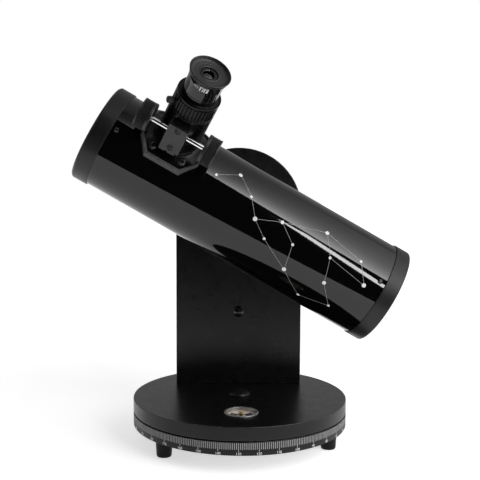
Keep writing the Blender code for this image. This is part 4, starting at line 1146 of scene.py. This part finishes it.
def make_pinion():
    end = KNOB_FAR - 3
    shaft = lathe_mesh("shaft", [
        (0, end), (2.5, end, 0.4), (2.5, 4), (2, 4), (2, -4), (2.5, -4), (2.5, -end, 0.4), (0, -end),
    ], MEDIUM)
    gear = slab_mesh("gear", gear_outline(), -3.8, 3.8, 0)
    shaft = combined(shaft, SHAFT, [(gear, SHAFT)], "UNION")
    solid("focus_shaft", shaft, SHAFT, "focus_pinion", CHROME, ["pinion_shaft"])
    length = KNOB_FAR - KNOB_NEAR
    knurl_low, knurl_high = 3.4, length - 1.6
    rings = 30
    knurl = []
    for i in range(rings + 1):
        dip = 0.5 - 0.5 * math.cos(2 * math.pi * i / 5)
        knurl.append((KNOB_RADIUS - 0.7 * dip ** 2, knurl_high - (knurl_high - knurl_low) * i / rings))
    profile = [
        (0, length - 0.8), (9.5, length - 0.8, 0.4), (10.2, length, 0.3), (KNOB_RADIUS, length, 0.9),
        (KNOB_RADIUS, knurl_high + 0.2), *knurl, (KNOB_RADIUS, knurl_low - 0.2), (KNOB_RADIUS, 0, 0.9),
        (2.8, 0), (2.8, length - 2.7), (0, length - 2.7),
    ]
    knob = lathe_mesh("focus_knob", profile, 560, (knurl_low, knurl_high, 70, 0.8))
    for node, way in (("focus_knob_front", ALONG), ("focus_knob_rear", -ALONG)):
        where = space(SHAFT.translation + way * KNOB_NEAR * MM, ACROSS, way.cross(ACROSS), way)
        solid(node.replace("knob", "handwheel"), knob, where, "focus_pinion", KNURL_BLACK, [node],
              slot="knob_plastic")


def rack_outline():
    """Teeth along the rack, in step with the pinion. X is along it and Y out towards the pinion."""
    pitch = 2 * math.pi * PINION_PITCH / PINION_TEETH
    root, tip = SHAFT_Y - PINION_PITCH - 0.9, SHAFT_Y - PINION_PITCH + 0.5
    bottom, top = 55.0, HOUSING_TOP - 2.5
    outline = [(top, 16.6), (bottom, 16.6), (bottom, root)]
    first, last = math.ceil((bottom + 1 - SHAFT_Z) / pitch), math.floor((top - 1 - SHAFT_Z) / pitch)
    for tooth in range(first, last + 1):
        middle = SHAFT_Z + tooth * pitch
        outline += [(middle - 0.62, root), (middle - 0.22, tip), (middle + 0.22, tip), (middle + 0.62, root)]
    return outline + [(top, root)]


def make_drawtube():
    tube = lathe_mesh("drawtube", [(16.1, 101), (17.3, 101, 0.3), (17.3, 54, 0.3), (16.1, 54)], MEDIUM)
    rack = slab_mesh("rack", rack_outline(), -2.2, 2.2, 0)
    tube = combined(tube, FOCUSER, [(rack, space(FOCUS_POINT, OUT, ACROSS, -ALONG))], "UNION")
    solid("sliding_drawtube", tube, FOCUSER, "drawtube", FOCUS_BLACK, ["drawtube"])
    low, high = COLLAR_BOTTOM, COLLAR_TOP
    rim = COLLAR_RADIUS - 0.35
    collar = lathe_mesh("collar", [
        (16.1, high, 0.4), (19.0, high, 0.5), (19.0, high - 1.0, 0.3), (rim - 0.9, high - 1.0, 0.3),
        (rim - 0.5, high, 0.2), (COLLAR_RADIUS, high, 0.6), (COLLAR_RADIUS, high - 2.4, 0.3),
        (rim - 0.9, high - 2.9), (COLLAR_RADIUS, high - 3.4), (COLLAR_RADIUS, high - 3.8),
        (COLLAR_RADIUS, low + 3.0), (COLLAR_RADIUS, low + 2.4), (rim - 0.9, low + 2.0),
        (COLLAR_RADIUS, low + 1.4, 0.3), (COLLAR_RADIUS, low, 0.5), (17.6, low), (17.6, 101.3),
        (16.1, 101.3),
    ], 648, (low + 2.9, high - 3.7, 36, 0.8))
    hole = rod_mesh(1.8, -20, 2, 24)
    lug = [point for point in ring_points(5.0, 48) if point[0] > -2.6] + [(-8.0, 0.0)]
    lug.sort(key=lambda point: math.atan2(point[1], point[0]))
    pad = slab_mesh("pad", lug, -7.5, -4.2, 0.4)
    collar = combined(collar, FOCUSER, [(pad, THUMBSCREW)], "UNION")
    solid("eyepiece_holder", combined(collar, FOCUSER, [(hole, THUMBSCREW)]), FOCUSER, "drawtube",
          FOCUS_BLACK, ["eyepiece_collar"])
    head = lathe_mesh("thumbscrew", [
        (0, 3.0), (2.8, 3.0, 0.3), (3.5, 2.3, 0.3), (3.5, 2.0), (3.5, -2.0), (3.5, -2.3, 0.3),
        (2.8, -3.0, 0.2), (1.5, -3.0), (1.5, -11.2, 0.3), (0, -11.2),
    ], 192, (-2.1, 2.1, 22, 0.3))
    solid("holder_thumbscrew", head, THUMBSCREW, "eyepiece_thumbscrew", KNURL_BLACK, ["eyepiece_thumbscrew"])


# ---- eyepiece ----

EYEPIECE_RADIUS, CUP_SEAT = 18.0, 14.0
LABEL_BEARING, LABEL_HEIGHT, LABEL_WIDE, LABEL_TALL = 101, 136.4, 8.4, 6.6


def make_eyepiece():
    seat = COLLAR_TOP + GAP
    lathe("chrome_barrel", [
        (13.9, seat + 7), (15.7, seat + 7), (15.7, 93, 0.4), (13.9, 93, 0.3), (14.1, 94), (13.9, 95.5),
    ], FOCUSER, "eyepiece", CHROME, ["eyepiece_barrel"], FINE)
    body = [
        (9.2, 142), (CUP_SEAT, 142), (CUP_SEAT, 141.2), (19.5, 141.2, 0.2), (18.9, 139.5), (18.5, 137),
        (18.2, 134.5), (EYEPIECE_RADIUS, 131), (EYEPIECE_RADIUS, 122.6, 0.2),
        (EYEPIECE_RADIUS - 0.25, 122.35), (EYEPIECE_RADIUS - 0.25, 121.95), (EYEPIECE_RADIUS, 121.7, 0.2),
        (EYEPIECE_RADIUS, seat, 0.8), (16, seat), (16, seat + 7.3), (9.2, seat + 7.3),
    ]
    lathe("eyepiece_shell", body, FOCUSER, "eyepiece", EYEPIECE_BLACK, ["eyepiece_body"], FINE)
    put("eyepiece_label",
        label_mesh([(0, 0, LABEL_WIDE, LABEL_TALL), (8.4, 0.9, 6.4, 0.5), (7.6, -0.6, 4.8, 0.4)]), FOCUSER,
        "eyepiece", WHITE_INK)
    put("eyepiece_label_sign", label_mesh([
        (0, 2.3, 6.6, 0.5), (0, -2.3, 6.6, 0.5), (-1.9, 0, 1.3, 3.2), (0.2, 0, 0.6, 3.2), (2.2, 0, 1.7, 3.2),
    ], 2), FOCUSER, "eyepiece", CARD_INK, slot="eyepiece_gloss")
    lathe("eyepiece_field_lens", [
        (0, 114), (4, 113.8), (8, 113.2), (11, 112.4), (13.5, 111.6, 0.1), (13.5, 109.5), (0, 109.5),
    ], FOCUSER, "eyepiece", LENS, ["field_lens"], FINE)
    lathe("eyepiece_eye_lens", [
        (0, 140.6), (2, 140.53), (4, 140.25), (6, 139.8), (8.8, 138.9, 0.1), (8.8, 136.5), (0, 136.5),
    ], FOCUSER, "eyepiece", LENS, ["eye_lens"], FINE)
    lathe("eye_lens_ring", [
        (5.4, 141.7, 0.2), (6.0, 142.2, 0.2), (8.2, 142.2, 0.3), (8.9, 141.7, 0.1), (8.9, 141.0),
        (5.4, 141.0, 0.2),
    ], FOCUSER, "eyepiece", EYEPIECE_BLACK, steps=FINE)
    lathe("folding_eyecup", [
        (9, 142.9, 0.2), (9.6, 143.3, 0.2), (10.3, 142.9), (13.2, 142.9), (13.6, 143.2, 0.1), (14.1, 142.95),
        (17.6, 143.2), (18.9, 144.2), (19.9, 146.3), (20.5, 146.6, 0.3), (21.1, 146.0, 0.3), (20.4, 143.9),
        (19.8, 142.1), (19.6, 141.5, 0.2), (CUP_SEAT + GAP, 141.5), (CUP_SEAT + GAP, 142.3), (9, 142.3, 0.2),
    ], FOCUSER, "eyepiece", RUBBER, ["eyecup"], FINE)


def label_mesh(bars, layer=1):
    """Flat (x, z, width, height) bars wrapped on the eyepiece, where its label is: no lettering."""
    cage = bmesh.new()

    def wrapped(x, z):
        reach = EYEPIECE_RADIUS + 0.2 + 0.14 * (LABEL_HEIGHT + z - 134.5) + layer * INK
        turn = math.radians(LABEL_BEARING) - x / EYEPIECE_RADIUS
        return polar(reach, turn, LABEL_HEIGHT + z)

    for x, z, width, height in bars:
        steps = 8
        for step in range(steps):
            left = x - width / 2 + width * step / steps
            right = left + width / steps
            low, high = z - height / 2, z + height / 2
            corners = ((left, low), (right, low), (right, high), (left, high))
            cage.faces.new([cage.verts.new(wrapped(*corner)) for corner in corners])
    return new_mesh("label", cage)


# ---- studio ----

CAMERA_AT = BASE.translation + Vector((-0.0276, -0.9243, 0.3084))
CAMERA_PITCH, CAMERA_YAW, CAMERA_ROLL = 5.04, -0.05, 0.07
CAMERA_LENS, CAMERA_SHIFT = 63.6, (0.0511, -0.0124)
TABLE_FRONT, TABLE_LEAN, TABLE_BACK, TABLE_SIDE = -460, 0.1, 5000, 4000
# The table's glow near and far from the telescope: painted light.
TABLE_PAINTED_GLOW_NEAR, TABLE_PAINTED_GLOW_FAR = 0.62, 1.02
ROOM_DARK, ROOM_DIM, BACKDROP = 0.015, 0.36, 1.0
SUBJECT = Vector((0, 0, 0.25))
SOFTBOX_AT, SOFTBOX_SIZE = (-14, 36, 1.5), (2.3, 1.9)
SOFTBOX_RADIANCE, SOFTBOX_FALL = 6.0, 0.04
TOP_FADE_START, TOP_LEFT_OVER = 0.55, 0.05
STRIP_AT, STRIP_SIZE, STRIP_RADIANCE = (-62.5, 16, 1.6), (0.12, 0.56), 12


def make_camera():
    data = bpy.data.cameras.new("camera")
    data.lens, data.sensor_width = CAMERA_LENS, 36
    data.shift_x, data.shift_y = CAMERA_SHIFT
    data.clip_start, data.clip_end = 0.01, 50
    where = Matrix.Translation(CAMERA_AT)
    for degrees, axis in ((CAMERA_YAW, "Z"), (90 - CAMERA_PITCH, "X"), (CAMERA_ROLL, "Z")):
        where = where @ turned(degrees, axis)
    bpy.context.scene.camera = linked("camera", data, where)


def make_floor():
    """A pale table that glows, ending some way in front of the telescope. Its glow is painted light, weaker
    near the telescope and stronger further off, so that the far table reads white.
    """
    nodes = Nodes("pale_table")
    cloud = nodes.spread(nodes.noise(3), 0.0, 1.0)
    distance = nodes.add("ShaderNodeVectorMath", Vector=nodes.place)
    distance.operation = "LENGTH"
    # Painted light: the table's glow grows with distance from the telescope.
    painted_glow = nodes.spread(distance.outputs["Value"], TABLE_PAINTED_GLOW_NEAR, TABLE_PAINTED_GLOW_FAR, 0.3, 1.6)
    nodes.set(Base_Color=nodes.mix(cloud, grey(0.86), grey(0.88)),
              Roughness=nodes.spread(nodes.noise(60), 0.75, 0.85),
              Specular_IOR_Level=0.1, Emission_Color=grey(1.0), Emission_Strength=painted_glow)
    lean = TABLE_SIDE * TABLE_LEAN
    table = slab_mesh("table", [(-TABLE_SIDE, TABLE_FRONT - lean), (TABLE_SIDE, TABLE_FRONT + lean),
                                (TABLE_SIDE, TABLE_BACK), (-TABLE_SIDE, TABLE_BACK)], -20, -0.1, 0)
    table.materials.append(nodes.material)
    floor = linked("floor", table)


def from_subject(azimuth, height, distance):
    """A point seen from the telescope at an azimuth and a height above the horizon, in degrees."""
    turn, lift = math.radians(azimuth), math.radians(height)
    flat = distance * math.cos(lift)
    return SUBJECT + Vector((flat * math.cos(turn), flat * math.sin(turn), distance * math.sin(lift)))


def make_light(name, at, size, radiance, fall=None):
    """A soft panel facing the telescope.

    fall is the share of its light left at its far side. Such a panel also fades out at its top.
    """
    data = bpy.data.lights.new(name, "AREA")
    data.shape = "RECTANGLE"
    data.size, data.size_y = size
    data.energy = radiance * 4 * size[0] * size[1]
    if fall:
        data.use_nodes = True
        nodes = Tree(data.node_tree)
        spot = nodes.apart(nodes.add("ShaderNodeNewGeometry").outputs["Parametric"])
        across = nodes.maths("POWER", fall, spot["X"])
        top = nodes.spread(spot["Y"], 1.0, TOP_LEFT_OVER, TOP_FADE_START, 1.0, "SMOOTHSTEP")
        nodes.feed(nodes.tree.nodes["Emission"].inputs["Strength"], nodes.maths("MULTIPLY", across, top))
    light = linked(name, data)
    light.location = at
    light.rotation_euler = (SUBJECT - at).to_track_quat("-Z", "Y").to_euler()
    light.visible_camera = False


def make_world():
    """A dim room, darker in front of the telescope, and a plain white backdrop for the camera."""
    world = bpy.data.worlds.new("studio")
    bpy.context.scene.world = world
    world.use_nodes = True
    nodes = Tree(world.node_tree)
    heading = nodes.apart(nodes.add("ShaderNodeTexCoord").outputs["Generated"])
    depth = nodes.spread(heading["Y"], ROOM_DARK, ROOM_DIM, -0.55, 0.05, "SMOOTHSTEP")
    seen = nodes.add("ShaderNodeLightPath").outputs["Is Camera Ray"]
    nodes.feed(nodes.tree.nodes["Background"].inputs["Color"], nodes.mix(seen, depth, grey(BACKDROP)))


def make_studio():
    make_world()
    make_floor()
    make_camera()
    make_light("softbox", from_subject(*SOFTBOX_AT), SOFTBOX_SIZE, SOFTBOX_RADIANCE, SOFTBOX_FALL)
    make_light("strip_light", from_subject(*STRIP_AT), STRIP_SIZE, STRIP_RADIANCE)
    bpy.context.scene.view_settings.view_transform = "Standard"


def main():
    make_ground_base()
    make_turntable()
    make_tube()
    make_optics()
    make_altitude_pivot()
    make_focuser_housing()
    make_pinion()
    make_drawtube()
    make_eyepiece()
    make_studio()


main()
